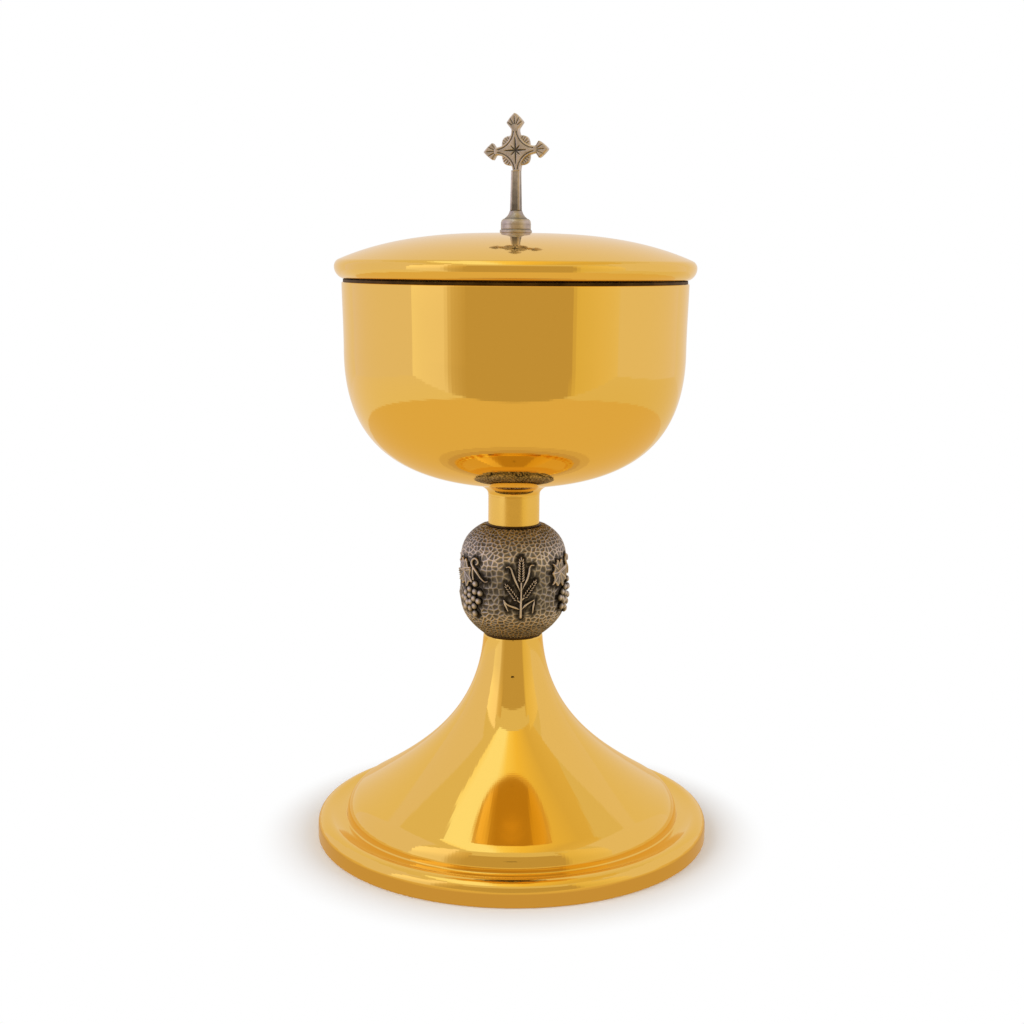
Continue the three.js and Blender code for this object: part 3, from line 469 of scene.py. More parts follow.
across = calc(turning, "MULTIPLY", parts.outputs[0], cosine)
deep = calc(turning, "MULTIPLY", parts.outputs[0], sine)
target = add(turning, "ShaderNodeCombineXYZ", {0: across, 1: deep, 2: parts.outputs[2]})
placed = add(turning, "GeometryNodeSetPosition", {"Geometry": grid.outputs["Mesh"], "Position": target})
sealed = add(turning, "GeometryNodeMergeByDistance", {"Geometry": placed, "Distance": SEAM_REACH})
real = add(turning, "GeometryNodeRealizeInstances", {"Geometry": sealed})
angle = add(turning, "GeometryNodeInputMeshEdgeAngle")
sharp = add(turning, "FunctionNodeCompare", {
    "A": angle.outputs["Unsigned Angle"], "B": given["Sharp Angle"]}, operation="LESS_THAN")
shaded = add(turning, "GeometryNodeSetShadeSmooth", {
    "Geometry": real, "Shade Smooth": sharp}, domain="EDGE")
coated = add(turning, "GeometryNodeSetMaterial", {"Geometry": shaded, "Material": given["Material"]})
add(turning, "NodeGroupOutput", {0: coated})
print("nodes in the tree", len(turning.nodes))

# %% [markdown]
# Outlines are written in millimetres as radius and height, the way a turner draws
# half a section. The same few curves as in the part's source are used, only with
# many more points: arcs, curves with two pulls, and a line moved square to itself
# for the thickness of the sheet.
# %% Outline helpers
def arc(centre, radius, start, end, steps=16):
    angles = np.radians(np.linspace(start, end, steps + 1))
    return [(centre[0] + radius * math.cos(a), centre[1] + radius * math.sin(a)) for a in angles]


def bezier(points, steps=60):
    made = []
    for t in np.linspace(0, 1, steps + 1):
        line = [np.array(p, float) for p in points]
        while len(line) > 1:
            line = [(1 - t) * a + t * b for a, b in zip(line, line[1:])]
        made.append(tuple(line[0]))
    return made


def toward(degrees, length, start=(0, 0)):
    turn = math.radians(degrees)
    return (start[0] + length * math.cos(turn), start[1] + length * math.sin(turn))


def moved(points, distance):
    p = np.array(points, float)
    along = np.gradient(p, axis=0)
    along /= np.maximum(np.linalg.norm(along, axis=1), 1e-9)[:, None]
    return [(x - distance * ty, y + distance * tx) for (x, y), (tx, ty) in zip(p, along)]


def lifted(points, height):
    return [(x, y + height) for x, y in points]


def face_outward(mesh):
    mesh.calc_loop_triangles()
    co = np.array([v.co for v in mesh.vertices], float)
    tri = np.array([t.vertices for t in mesh.loop_triangles])
    volume = np.einsum("ij,ij->i", co[tri[:, 0]], np.cross(co[tri[:, 1]], co[tri[:, 2]])).sum()
    if volume < 0:
        mesh.flip_normals()


def turned(name, outline, material, steps=192, sharp=32):
    closed = list(outline) if outline[0][0] == 0 else [*outline, outline[0]]
    mesh = bpy.data.meshes.new(name)
    mesh.from_pydata([(r / 1000, 0, z / 1000) for r, z in closed], [], [])
    piece = run_tree(loose(mesh), turning, {
        "Steps": steps, "Sharp Angle": math.radians(sharp), "Material": material})
    face_outward(piece.data)
    print(name, "faces", len(piece.data.polygons))
    return piece


def settle(piece, body, slot, *nodes):
    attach(piece, body)
    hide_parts(*nodes)


print("a quarter of a circle ends at", [round(v, 3) for v in arc((0, 0), 1, 0, 90)[-1]])

# %% [markdown]
# The foot is one disc of brass sheet, spun over a wooden form into a trumpet. Its
# neck is narrow and steep, it flares to a soft shoulder, drops to a narrow valley and
# ends in an upright rim. The wall is 1 mm, and the underside is open.
# %% Spun foot
SHELL_STEPS = 320
FOOT_HEIGHT, FOOT_WALL = 70.65, 1.0
RIM_RADIUS, RIM_EDGE, RIM_ROUND = 67.5, 4.5, 3.5
VALLEY, RISER_RADIUS, RISER_ROUND = 7.0, 57.55, 0.5
SHOULDER_ROUND, SHOULDER_END = 9.0, 58.7
NECK_RADIUS, NECK_ROUND = 10.15, 0.7
ROD_HOLE = 3.3
RING_WIDTH, RING_THICK, RING_EDGE = 5, 2.4, 0.5

shoulder_middle = (RISER_RADIUS - SHOULDER_ROUND, VALLEY + 0.25)
flare_end = toward(SHOULDER_END, SHOULDER_ROUND, shoulder_middle)
neck_top = (NECK_RADIUS, FOOT_HEIGHT - NECK_ROUND)
flare = bezier([flare_end, toward(SHOULDER_END + 90, 30.2, flare_end), toward(-86.1, 25.4, neck_top), neck_top],
               110)
shoulder = [*arc(shoulder_middle, SHOULDER_ROUND, 3, 42, 24),
            *arc(shoulder_middle, SHOULDER_ROUND, 42, SHOULDER_END, 14)[1:]]
rim = arc((RIM_RADIUS - RIM_ROUND, RIM_EDGE), RIM_ROUND, 0, 112, 24)
slide = bezier([rim[-1], toward(202, 0.9, rim[-1]), (60.4, VALLEY), (59.4, VALLEY)], 8)
foot_outline = [
    (RIM_RADIUS - 0.5, 0), (RIM_RADIUS - 0.15, 0.15), (RIM_RADIUS, 0.5), *rim, *slide[1:],
    *arc((RISER_RADIUS + RISER_ROUND, VALLEY + RISER_ROUND), RISER_ROUND, 270, 185, 8), *shoulder, *flare[1:],
    *arc((NECK_RADIUS - NECK_ROUND, FOOT_HEIGHT - NECK_ROUND), NECK_ROUND, 30, 90, 6),
    (ROD_HOLE, FOOT_HEIGHT), (ROD_HOLE, FOOT_HEIGHT - FOOT_WALL),
    (NECK_RADIUS - FOOT_WALL, FOOT_HEIGHT - FOOT_WALL),
    *moved(flare[::4], FOOT_WALL)[::-1][1:], *moved(shoulder[::3], FOOT_WALL)[::-1][1:-1],
    (RISER_RADIUS - FOOT_WALL, VALLEY - FOOT_WALL), *moved(rim[::4], FOOT_WALL)[::-1][1:],
    (RIM_RADIUS - FOOT_WALL, 0),
]
settle(turned("spun_foot", foot_outline, gold_plate, SHELL_STEPS), "stand", "polished_gold", "foot_shell")

ring_outer = RIM_RADIUS - FOOT_WALL - 0.1
ring_inner = ring_outer - RING_WIDTH
rim_ring = turned("rim_ring", [
    (ring_inner, 0), (ring_outer, 0), (ring_outer, RING_THICK - RING_EDGE),
    (ring_outer - RING_EDGE, RING_THICK), (ring_inner, RING_THICK)], turned_brass, 160)
settle(rim_ring, "stand", "plain_brass", "foot_rim_ring")

# %% [markdown]
# The cup is spun as well: nearly flat at the bottom, then round, then upright to
# a plain lip. Below it a turned cone is brazed on, and the collar under the cone is
# a plain tube. The thin dark rings are what is left to see of the washers that seat
# the knop between foot and collar, and their dark is painted shade for the gaps there.
# %% Cup, boss, collar and rings
CUP_BOTTOM, CUP_HEIGHT, CUP_RADIUS, CUP_WALL = 122.35, 67.4, 56.85, 1.1
MOUTH_RADIUS, LIP_ROUND = 57.35, 0.35
UPRIGHT_START = 44.9
side = bezier([(0, 0), (39.2, 0), (CUP_RADIUS, 14.2), (CUP_RADIUS, UPRIGHT_START)], 110)
flare_up = bezier([(CUP_RADIUS, UPRIGHT_START), (CUP_RADIUS, 54), (MOUTH_RADIUS - 0.1, 60),
                   (MOUTH_RADIUS, 67.05)], 40)
wall_line = [*side, *flare_up[1:]]
bore_line = moved(wall_line, CUP_WALL)
bore_line = [*bore_line[:-1:2], bore_line[-1]]
bore_line[0] = (0, CUP_WALL)
mouth_bore = MOUTH_RADIUS - CUP_WALL
lip_round_height = CUP_HEIGHT - LIP_ROUND
cup_outline = lifted([
    *wall_line, *arc((MOUTH_RADIUS - LIP_ROUND, lip_round_height), LIP_ROUND, 0, 90, 6),
    *arc((mouth_bore + LIP_ROUND, lip_round_height), LIP_ROUND, 90, 180, 6), *bore_line[::-1]], CUP_BOTTOM)
settle(turned("spun_cup", cup_outline, gold_plate, SHELL_STEPS), "stand", "polished_gold", "cup_bowl")

BOSS_SHOULDER, BOSS_RADIUS, BOSS_EDGE = 118.75, 8.8, 0.4
SPIGOT_RADIUS, SPIGOT_LENGTH = 7.0, 4
ROD_SOCKET, SOCKET_TOP = 3.1, 1.9
DISH_REACH = 16.5
dish = [(r, z + 3.6) for r, z in moved([p for p in side if p[0] < DISH_REACH], -0.1)]
dish[0] = (0, dish[0][1])
edge = dish[-1]
boss_outline = lifted([
    (0, SOCKET_TOP), (ROD_SOCKET, SOCKET_TOP), (ROD_SOCKET, -SPIGOT_LENGTH), (SPIGOT_RADIUS, -SPIGOT_LENGTH),
    (SPIGOT_RADIUS, 0), (BOSS_RADIUS, 0), (BOSS_RADIUS, BOSS_EDGE),
    *bezier([(BOSS_RADIUS, BOSS_EDGE), (BOSS_RADIUS, edge[1] / 2), ((BOSS_RADIUS + edge[0]) / 2, edge[1] - 0.4),
             edge], 24)[1:],
    *dish[1:-1][::-1], (0, dish[0][1])], BOSS_SHOULDER)
settle(turned("cup_boss_turned", boss_outline, gold_plate, 128), "stand", "polished_gold", "cup_boss")


def tube(name, outer, bore, low, high, material, round_edge=0.15, steps=128):
    return turned(name, [
        (bore, low), *arc((outer - round_edge, low + round_edge), round_edge, 270, 360, 4),
        *arc((outer - round_edge, high - round_edge), round_edge, 0, 90, 4), (bore, high)], material, steps)


KNOP_LOW, KNOP_HEIGHT, COLLAR_LOW = 71.25, 37.1, 108.95
collar = tube("stem_collar_tube", 8.7, 7.1, COLLAR_LOW, BOSS_SHOULDER, satin_gold, 0.12)
settle(collar, "stand", "polished_gold", "stem_collar")
# painted shade: this ring and the next stand for the dark gaps at the ends of the knop
low_ring = tube("knop_ring_low", 10.1, ROD_HOLE, FOOT_HEIGHT, KNOP_LOW, dark_silver)
settle(low_ring, "stand", "dark_silver", "knop_bottom_ring")
high_ring = tube("knop_ring_high", 9.35, ROD_HOLE, KNOP_LOW + KNOP_HEIGHT, COLLAR_LOW, dark_silver)
settle(high_ring, "stand", "dark_silver", "knop_top_ring")

# %% [markdown]
# The lid is a low spun dome whose edge is rolled into a bead. The bead hangs just
# above the lip, and the dark gap between them is as wide as the shoulder of the plain
# ring inside, which drops into the mouth of the cup and keeps the lid in the middle.
# %% Lid
LIP = CUP_BOTTOM + CUP_HEIGHT
BEAD_BOTTOM, BEAD_MIDDLE = LIP + 0.9, LIP + 5.05
BEAD_REACH, LOW_ROUND, HIGH_ROUND, BEAD_END = MOUTH_RADIUS + 2.4, 4.15, 2.6, 66.2
CROWN, CROWN_FLAT, STUD_HOLE = BEAD_MIDDLE + 11.1, 5.6, 1.7
LID_WALL = 1.0
RING_DROP, RING_RISE, RING_SHOULDER = 5.5, 3, mouth_bore + 0.65
low_bead = (BEAD_REACH - LOW_ROUND, BEAD_MIDDLE)
high_bead = (BEAD_REACH - HIGH_ROUND, BEAD_MIDDLE)
dome_edge = toward(BEAD_END, HIGH_ROUND, high_bead)
dome = bezier([dome_edge, toward(BEAD_END + 90, 20.6, dome_edge), (CROWN_FLAT + 12.3, CROWN),
               (CROWN_FLAT, CROWN)], 90)
ring_reach = mouth_bore - 0.45
lid_outline = [
    (ring_reach + 0.1, BEAD_BOTTOM), *arc(low_bead, LOW_ROUND, 270, 360, 24),
    *arc(high_bead, HIGH_ROUND, 0, BEAD_END, 16)[1:], *dome[1:],
    (STUD_HOLE, CROWN), (STUD_HOLE, CROWN - LID_WALL), *moved(dome[::2], LID_WALL)[::-1],
    *arc(high_bead, HIGH_ROUND - LID_WALL, BEAD_END, 0, 8)[1:],
    *arc(low_bead, LOW_ROUND - LID_WALL, 360, 270, 10)[1:], (ring_reach + 0.1, BEAD_BOTTOM + LID_WALL),
]
settle(turned("spun_lid", lid_outline, gold_plate, SHELL_STEPS), "lid", "polished_gold", "lid_dome")

lid_ring = turned("lid_ring", [
    (ring_reach - 1, LIP - RING_DROP), (ring_reach, LIP - RING_DROP), (ring_reach, LIP), (RING_SHOULDER, LIP),
    (RING_SHOULDER, BEAD_BOTTOM), (ring_reach, BEAD_BOTTOM), (ring_reach, BEAD_BOTTOM + RING_RISE),
    (ring_reach - 1, BEAD_BOTTOM + RING_RISE)], dull_plate)
settle(lid_ring, "lid", "polished_gold", "lid_flange")

# %% [markdown]
# The knop is a hollow silver casting with wheat and grapes in relief. Its smooth
# body comes first, because the reliefs are laid on it and the ground is beaten into it.
# %% The smooth body of the knop
KNOP_RADIUS, KNOP_MIDDLE, KNOP_TOP = 18.15, KNOP_LOW + KNOP_HEIGHT / 2, KNOP_LOW + KNOP_HEIGHT
KNOP_WALL, KNOP_END, KNOP_BORE = 2.2, 2.6, 4.6
BELLY_LOW, BELLY_HIGH, BELLY_PULL = 13.4, 23.8, 5.6
low_neck, high_neck = (10.6, 0), (10.9, KNOP_HEIGHT)
low_curve = bezier([low_neck, toward(38, 6.8, low_neck), (KNOP_RADIUS, BELLY_LOW - BELLY_PULL),
                    (KNOP_RADIUS, BELLY_LOW)], 62)
high_curve = bezier([(KNOP_RADIUS, BELLY_HIGH), (KNOP_RADIUS, BELLY_HIGH + BELLY_PULL),
                     toward(-28, 7.0, high_neck), high_neck], 62)
belly = [(KNOP_RADIUS, z) for z in np.arange(BELLY_LOW + 0.25, BELLY_HIGH - 0.1, 0.26)]
knop_line = lifted([*low_curve, *belly, *high_curve], KNOP_LOW)
knop_inside = [p for p in moved(knop_line, KNOP_WALL)[::10] if KNOP_LOW + KNOP_END < p[1] < KNOP_TOP - KNOP_END]
knop_outline = [
    (KNOP_BORE, KNOP_LOW), *knop_line, (KNOP_BORE, KNOP_TOP), (KNOP_BORE, KNOP_TOP - KNOP_END),
    (knop_inside[-1][0], KNOP_TOP - KNOP_END), *knop_inside[::-1], (knop_inside[0][0], KNOP_LOW + KNOP_END),
    (KNOP_BORE, KNOP_LOW + KNOP_END)]
ground = turned("knop_ground", knop_outline, antique_silver, 470)
smooth_body = turned("smooth_body", knop_outline, antique_silver)

# %% [markdown]
# The modeller of the pattern pressed the wheat and the vine out of rolls and pellets
# of wax. They are made the same way here, flat, with x across, y up and z out of the
# surface in millimetres: a strand is a ring carried along a path, a leaf is a low
# mound inside an outline, a grape is a ball half sunk in. Every point is given its
# share of the rubbing: the crest is bright and the flanks stay dark.
# %% Wax strands, mounds and balls
class Wax:
    def __init__(self):
        self.places, self.faces, self.rub = [], [], []

    def shell(self, rows, rub):
        start, (count, ring) = len(self.places), np.shape(rub)
        self.places += [tuple(p) for row in rows for p in row]
        self.rub += [float(v) for row in rub for v in row]
        for i in range(count - 1):
            for j in range(ring):
                a, b = start + i * ring + j, start + i * ring + (j + 1) % ring
                self.faces.append((a, b, b + ring, a + ring))

    def mesh(self, name):
        mesh = bpy.data.meshes.new(name)
        mesh.from_pydata([tuple(c / 1000 for c in p) for p in self.places], [], self.faces)
        note = mesh.attributes.new("rub", "FLOAT", "POINT")
        note.data.foreach_set("value", self.rub)
        work = bmesh.new()
        work.from_mesh(mesh)
        bmesh.ops.remove_doubles(work, verts=work.verts, dist=2e-6)
        bmesh.ops.recalc_face_normals(work, faces=work.faces)
        work.to_mesh(mesh)
        work.free()
        return mesh


def smooth_path(points, steps):
    p = np.array(points, float)
    ghost = np.vstack([2 * p[0] - p[1], p, 2 * p[-1] - p[-2]])
    made = []
    for t in np.linspace(0, len(p) - 1, steps):
        i = min(int(t), len(p) - 2)
        u, (a, b, c, d) = t - i, ghost[i:i + 4]
        square, cube = 2 * a - 5 * b + 4 * c - d, 3 * b - a - 3 * c + d
        made.append(0.5 * (2 * b + (c - a) * u + square * u ** 2 + cube * u ** 3))
    return np.array(made)


def strand(wax, points, width, height, steps=26, ring=12, shape=None, bright=0.95, lift=0.0):
    line = smooth_path(points, steps)
    along = np.gradient(line, axis=0)
    along /= np.linalg.norm(along, axis=1)[:, None]
    share = np.linspace(0, 1, steps)
    swell = (shape or (lambda t: np.clip(np.sin(np.pi * np.clip(t, 0.02, 0.98)) * 3, 0, 1)))(share)
    swell = np.array(swell) * np.ones(steps)
    swell[0] = swell[-1] = 0.0
    rows, rub = [], []
    for centre, (tx, ty), size in zip(line, along, swell):
        row, notes = [], []
        for turn in np.linspace(0, 2 * math.pi, ring, endpoint=False):
            side, top = math.cos(turn) * width / 2 * size, math.sin(turn)
            out = top * height * (0.35 + 0.65 * size) + lift if top > 0 else top * 0.35
            row.append((centre[0] - ty * side, centre[1] + tx * side, out if size > 0 else -0.1))
            notes.append(bright * max(top, 0) ** 0.8)
        rows.append(row)
        rub.append(notes)
    wax.shell(rows, rub)


def ball(wax, x, y, radius, out, rings=8, ring=16):
    rows, rub = [], []
    for tilt in np.linspace(math.pi / 2, -math.pi / 2, rings + 1):
        flat = radius * math.cos(tilt)
        rows.append([(x + flat * math.cos(a), y + flat * math.sin(a), out + radius * 0.8 * math.sin(tilt))
                     for a in np.linspace(0, 2 * math.pi, ring, endpoint=False)])
        # brightest at the outermost point of each grape: rubbed wear, and a painted highlight as well
        rub.append([0.95 * max(math.sin(tilt), 0) ** 1.6] * ring)
    wax.shell(rows, rub)


def leaf(wax, stalk, tips, notches, height):
    centre = np.array(stalk, float)
    corners = []
    for tip, notch in zip(tips, notches):
        corners += [tip, notch]
    edge = smooth_path([*corners, corners[0]], 8 * len(corners) + 1)[:-1]
    ribs = [np.array(t, float) - centre for t in tips]
    rows, rub = [[(*centre, height)] * len(edge)], [[0.9] * len(edge)]
    for share in (0.12, 0.25, 0.4, 0.55, 0.7, 0.84, 0.94, 1.0):
        row, notes = [], []
        for corner in edge:
            place = (corner - centre) * share
            near = min(abs(rib[0] * place[1] - rib[1] * place[0]) / np.linalg.norm(rib)
                       + (9 if rib @ place < 0 else 0) for rib in ribs)
            crest = max(0.0, 1 - near / 0.3)
            rise = height * (0.62 + 0.25 * share) + 0.22 * crest
            row.append((*(centre + place), rise if share < 1 else height * 0.55))
            notes.append(min(0.95, 0.42 + 0.55 * crest + (0.4 if share > 0.9 else 0.0)))
        rows.append(row)
        rub.append(notes)
    rows.append([(*corner, -0.3) for corner in edge])
    rub.append([0.0] * len(edge))
    rows.append([(*centre, -0.3)] * len(edge))
    rub.append([0.0] * len(edge))
    wax.shell(rows, rub)


print("wax tools ready")

# %% [markdown]
# Wheat: a straight stem with one tall ear, two side ears, two tall leaves that bend
# outward at the top and two low leaves that are folded over. An ear is two rows of
# grains set like a herringbone, each grain a short pointed strand. Rows of grains
# could be instances too, but they are few and each leans to its own side.
# %% Wheat
wheat = Wax()


def bud_shape(t):
    return np.sin(np.pi * t) ** 0.6


def taper(t):
    return np.clip(3.0 * t, 0.3, 1) * np.clip(1.25 - 0.9 * t, 0, 1)


def ear(wax, low, high, width, grain, count):
    low, high = np.array(low, float), np.array(high, float)
    along = (high - low) / np.linalg.norm(high - low)
    aside = np.array([-along[1], along[0]])
    for i in range(count):
        at = low + (high - low) * (i + 0.2) / count
        narrow = 1.0 - 0.45 * (i / count) ** 3
        for side in (-1, 1):
            foot = at + aside * side * 0.1
            tip = at + along * grain + aside * side * width / 2 * narrow
            middle = (foot + tip) / 2 + aside * side * 0.12
            strand(wax, [foot, middle, tip], grain * 0.46, 0.85, 8, 8, bud_shape)
    strand(wax, [high - along * grain * 0.5, high + along * grain * 0.35, high + along * grain],
           grain * 0.42, 0.8, 8, 8, bud_shape)


strand(wheat, [(0.05, -10.2), (0, -6), (0.1, -2), (0.1, 2.6)], 1.0, 0.75, 30, 12, lambda t: 1 - 0.3 * t)
ear(wheat, (0.05, 2.2), (0.1, 9.6), 2.1, 1.35, 9)
ear(wheat, (-1.1, -3.9), (-4.7, 1.1), 1.5, 1.1, 7)
ear(wheat, (1.0, -3.0), (4.7, 2.3), 1.5, 1.1, 7)
for points, width, height, steps in (
        ([(-0.2, -1.0), (-0.7, 0.3), (-1.76, 2.7), (-2.67, 5.1), (-3.25, 6.8), (-4.0, 7.5), (-5.1, 7.2)],
         0.95, 0.8, 34),
        ([(0.2, -0.8), (0.9, 0.9), (2.05, 3.4), (2.65, 5.6), (2.9, 7.2), (3.5, 7.9), (4.7, 7.8)],
         0.95, 0.8, 34),
        ([(0, -7.1), (-1.95, -6.2), (-4.5, -5.2), (-5.8, -3.5)], 0.95, 0.7, 24),
        ([(-5.7, -3.8), (-5.0, -5.6), (-4.1, -7.7)], 0.9, 0.7, 18),
        ([(0.2, -7.1), (1.3, -5.7), (3.0, -4.6), (4.9, -3.7)], 0.95, 0.7, 24),
        ([(4.7, -3.9), (4.2, -6.2), (4.1, -8.6)], 0.85, 0.7, 18)):
    strand(wheat, points, width, height, steps, 12, taper)
strand(wheat, [(-0.1, -4.6), (-0.6, -4.2), (-1.3, -3.7)], 0.6, 0.6, 10, 8)
strand(wheat, [(0.2, -3.8), (0.6, -3.4), (1.2, -2.8)], 0.6, 0.6, 10, 8)
wheat = loose(wheat.mesh("knop_wheat"))
print("wheat faces", len(wheat.data.polygons))

# %% [markdown]
# Grapes: a bunch of balls, a lobed vine leaf with raised ribs beside and above it,
# and a tendril that leaves the bunch with a long sweep and ends in a curl.
# %% Grapes
vine = Wax()
BERRY_RADIUS = 1.2
BERRIES = [(2.9, 0.7), (0.2, -1.5), (2.7, -2.0), (5.0, -2.2), (0.3, -3.6), (2.2, -4.4), (4.2, -5.0),
           (-0.9, -6.0), (2.4, -6.9), (0.3, -7.9), (2.4, -9.4), (-3.3, -4.6), (0.7, -5.7), (-2.1, -7.7),
           (-1.8, -2.9), (-1.9, -5.0)]
for x, y in BERRIES:
    ball(vine, x, y, BERRY_RADIUS, 0.3)
leaf(vine, (-3.2, 4.2),
     tips=[(-7.3, 7.6), (-4.7, 8.6), (-2.4, 8.4), (0.5, 5.3), (1.4, 1.0), (-1.5, -0.9), (-4.6, -0.4),
           (-7.3, 0.4), (-7.2, 4.2)],
     notches=[(-5.3, 7.1), (-3.5, 7.3), (-1.0, 5.9), (0.1, 3.1), (-0.4, 0.8), (-2.9, 0.6), (-5.6, 0.8),
              (-6.2, 2.3), (-6.1, 5.6)],
     height=0.75)
curl = []
for k in range(8):
    reach, turn = 1.95 * (1 - 0.11 * k), math.pi - 0.62 * k
    curl.append((2.9 + reach * math.cos(turn), 7.7 + reach * math.sin(turn)))
strand(vine, [(7.9, 2.1), (6.6, 1.9), (5.0, 3.0), (3.2, 5.0), (1.5, 6.6), *curl], 0.85, 0.9, 70, 12,
       lambda t: np.clip(4 * t, 0.35, 1) * (1.1 - 0.35 * t))
strand(vine, [(-5.1, 4.4), (-2.0, 5.4), (1.1, 5.9)], 0.7, 1.1, 18, 10)
strand(vine, [(1.6, 6.4), (1.5, 4.0), (2.0, 1.4)], 0.7, 0.7, 18, 10)
vine = loose(vine.mesh("knop_grapes"))
print("grape faces", len(vine.data.polygons))

# %% [markdown]
# Both patterns go round the belly three times, in turn. A Geometry Nodes tree makes
# the three copies, bends them round the axis and lays them on the body: for every
# point a ray is sent in from outside at its own angle and height, and the point goes
# as far out from where the ray lands as it stood above the flat.
# %% Wrapping the reliefs round the knop
RAY_START = 0.04
wrapping, given = new_tree("wrap_round_the_knop", [
    ("Copies", "NodeSocketInt"), ("Turn", "NodeSocketFloat"), ("Middle", "NodeSocketFloat"),
    ("Radius", "NodeSocketFloat"), ("Body", "NodeSocketObject"), ("Material", "NodeSocketMaterial")])
line = add(wrapping, "GeometryNodeMeshLine", {"Count": given["Copies"], "Offset": (0.0, 0.0, 0.0)})
index = add(wrapping, "GeometryNodeInputIndex")
numbered = add(wrapping, "GeometryNodeStoreNamedAttribute", {
    "Geometry": line, "Name": "copy", "Value": index}, data_type="FLOAT", domain="POINT")
copies = add(wrapping, "GeometryNodeInstanceOnPoints", {"Points": numbered, "Instance": given["Geometry"]})
real = add(wrapping, "GeometryNodeRealizeInstances", {"Geometry": copies})
which = add(wrapping, "GeometryNodeInputNamedAttribute", {"Name": "copy"}, data_type="FLOAT")
spot = add(wrapping, "GeometryNodeInputPosition")
parts = add(wrapping, "ShaderNodeSeparateXYZ", {0: spot})
step = calc(wrapping, "DIVIDE", 2 * math.pi, given["Copies"])
first = calc(wrapping, "MULTIPLY_ADD", which, step, given["Turn"])
bent = calc(wrapping, "DIVIDE", parts.outputs[0], given["Radius"])
angle = calc(wrapping, "ADD", first, bent)
sine = calc(wrapping, "SINE", angle)
cosine = calc(wrapping, "COSINE", angle)
minus = calc(wrapping, "MULTIPLY", cosine, -1.0)
away = add(wrapping, "ShaderNodeCombineXYZ", {0: sine, 1: minus})
level = calc(wrapping, "ADD", parts.outputs[1], given["Middle"])
axis_point = add(wrapping, "ShaderNodeCombineXYZ", {2: level})
outside = add(wrapping, "ShaderNodeVectorMath", {
    0: away, 1: (RAY_START, RAY_START, RAY_START), 2: axis_point}, operation="MULTIPLY_ADD")
inward = add(wrapping, "ShaderNodeVectorMath", {0: away, "Scale": -1.0}, operation="SCALE")
body = add(wrapping, "GeometryNodeObjectInfo", {"Object": given["Body"]})
ray = add(wrapping, "GeometryNodeRaycast", {
    "Target Geometry": body.outputs["Geometry"], "Source Position": outside, "Ray Direction": inward,
    "Ray Length": RAY_START})
rise = add(wrapping, "ShaderNodeVectorMath", {
    0: ray.outputs["Hit Normal"], "Scale": parts.outputs[2]}, operation="SCALE")
landed = add(wrapping, "ShaderNodeVectorMath", {0: ray.outputs["Hit Position"], 1: rise}, operation="ADD")
placed = add(wrapping, "GeometryNodeSetPosition", {"Geometry": real, "Position": landed})
shaded = add(wrapping, "GeometryNodeSetShadeSmooth", {"Geometry": placed, "Shade Smooth": True})
coated = add(wrapping, "GeometryNodeSetMaterial", {"Geometry": shaded, "Material": given["Material"]})
add(wrapping, "NodeGroupOutput", {0: coated})

reliefs = []
for flat_relief, turn in ((wheat, 23), (vine, 83)):
    relief = run_tree(flat_relief, wrapping, {
        "Copies": 3, "Turn": math.radians(turn), "Middle": KNOP_MIDDLE / 1000, "Radius": KNOP_RADIUS / 1000,
        "Body": smooth_body, "Material": antique_silver})
    settle(relief, "stand", "antique_silver", "knop")
    reliefs.append(relief)
    print(relief.name, "faces", len(relief.data.polygons))

# %% [markdown]
# The ground between them was beaten all over with a round punch before the casting
# was darkened, so it is covered with small dimples that touch and leave thin ridges.
# The marks are finer towards both ends, larger round the belly. The skin of the body
# is unrolled to a flat map, angle across and the way along the outline up, and a cell
# pattern on the map gives each mark its own cell. Every point of the body sinks by how
# far it is from the edge of its cell, so the marks meet in a net of thin ridges. A curve
# along the height paints reflected light and shade into the silver: ridges and dimples
# are lighter in bands on the shoulders, most where the belly begins, and darker in a
# band round the belly. Close to a relief the cloth never reaches the ground. A bump in
# the material could do the dimples too, but the outline against the light would stay
# smooth.
# %% Beating the ground
DIMPLE_BOTTOM, RIDGE_CREST, RIDGE_FOOT, HOLLOW_SHARE = 0.36, 0.04, 0.2, 0.4
CLOTH_STOPS, CLOTH_CLEAR, UNRUBBED = 0.0005, 0.0018, 0.18
beating, given = new_tree("beat_with_a_round_punch", [
    ("Pitch", "NodeSocketFloat"), ("Depth", "NodeSocketFloat"), ("Radius", "NodeSocketFloat"),
    ("Middle", "NodeSocketFloat"), ("Height", "NodeSocketFloat"), ("Seam Turn", "NodeSocketFloat"),
    ("Randomness", "NodeSocketFloat"), ("Inside", "NodeSocketFloat"),
    ("Wheat", "NodeSocketObject"), ("Grapes", "NodeSocketObject"), ("Material", "NodeSocketMaterial")])
spot = add(beating, "GeometryNodeInputPosition")
parts = add(beating, "ShaderNodeSeparateXYZ", {0: spot})
flat = add(beating, "ShaderNodeCombineXYZ", {0: parts.outputs[0], 1: parts.outputs[1]})
facing = add(beating, "GeometryNodeInputNormal")
outwards = add(beating, "ShaderNodeVectorMath", {0: flat, 1: facing}, operation="DOT_PRODUCT")
outer = add(beating, "FunctionNodeCompare", {
    "A": outwards.outputs["Value"], "B": given["Inside"]}, operation="GREATER_THAN")

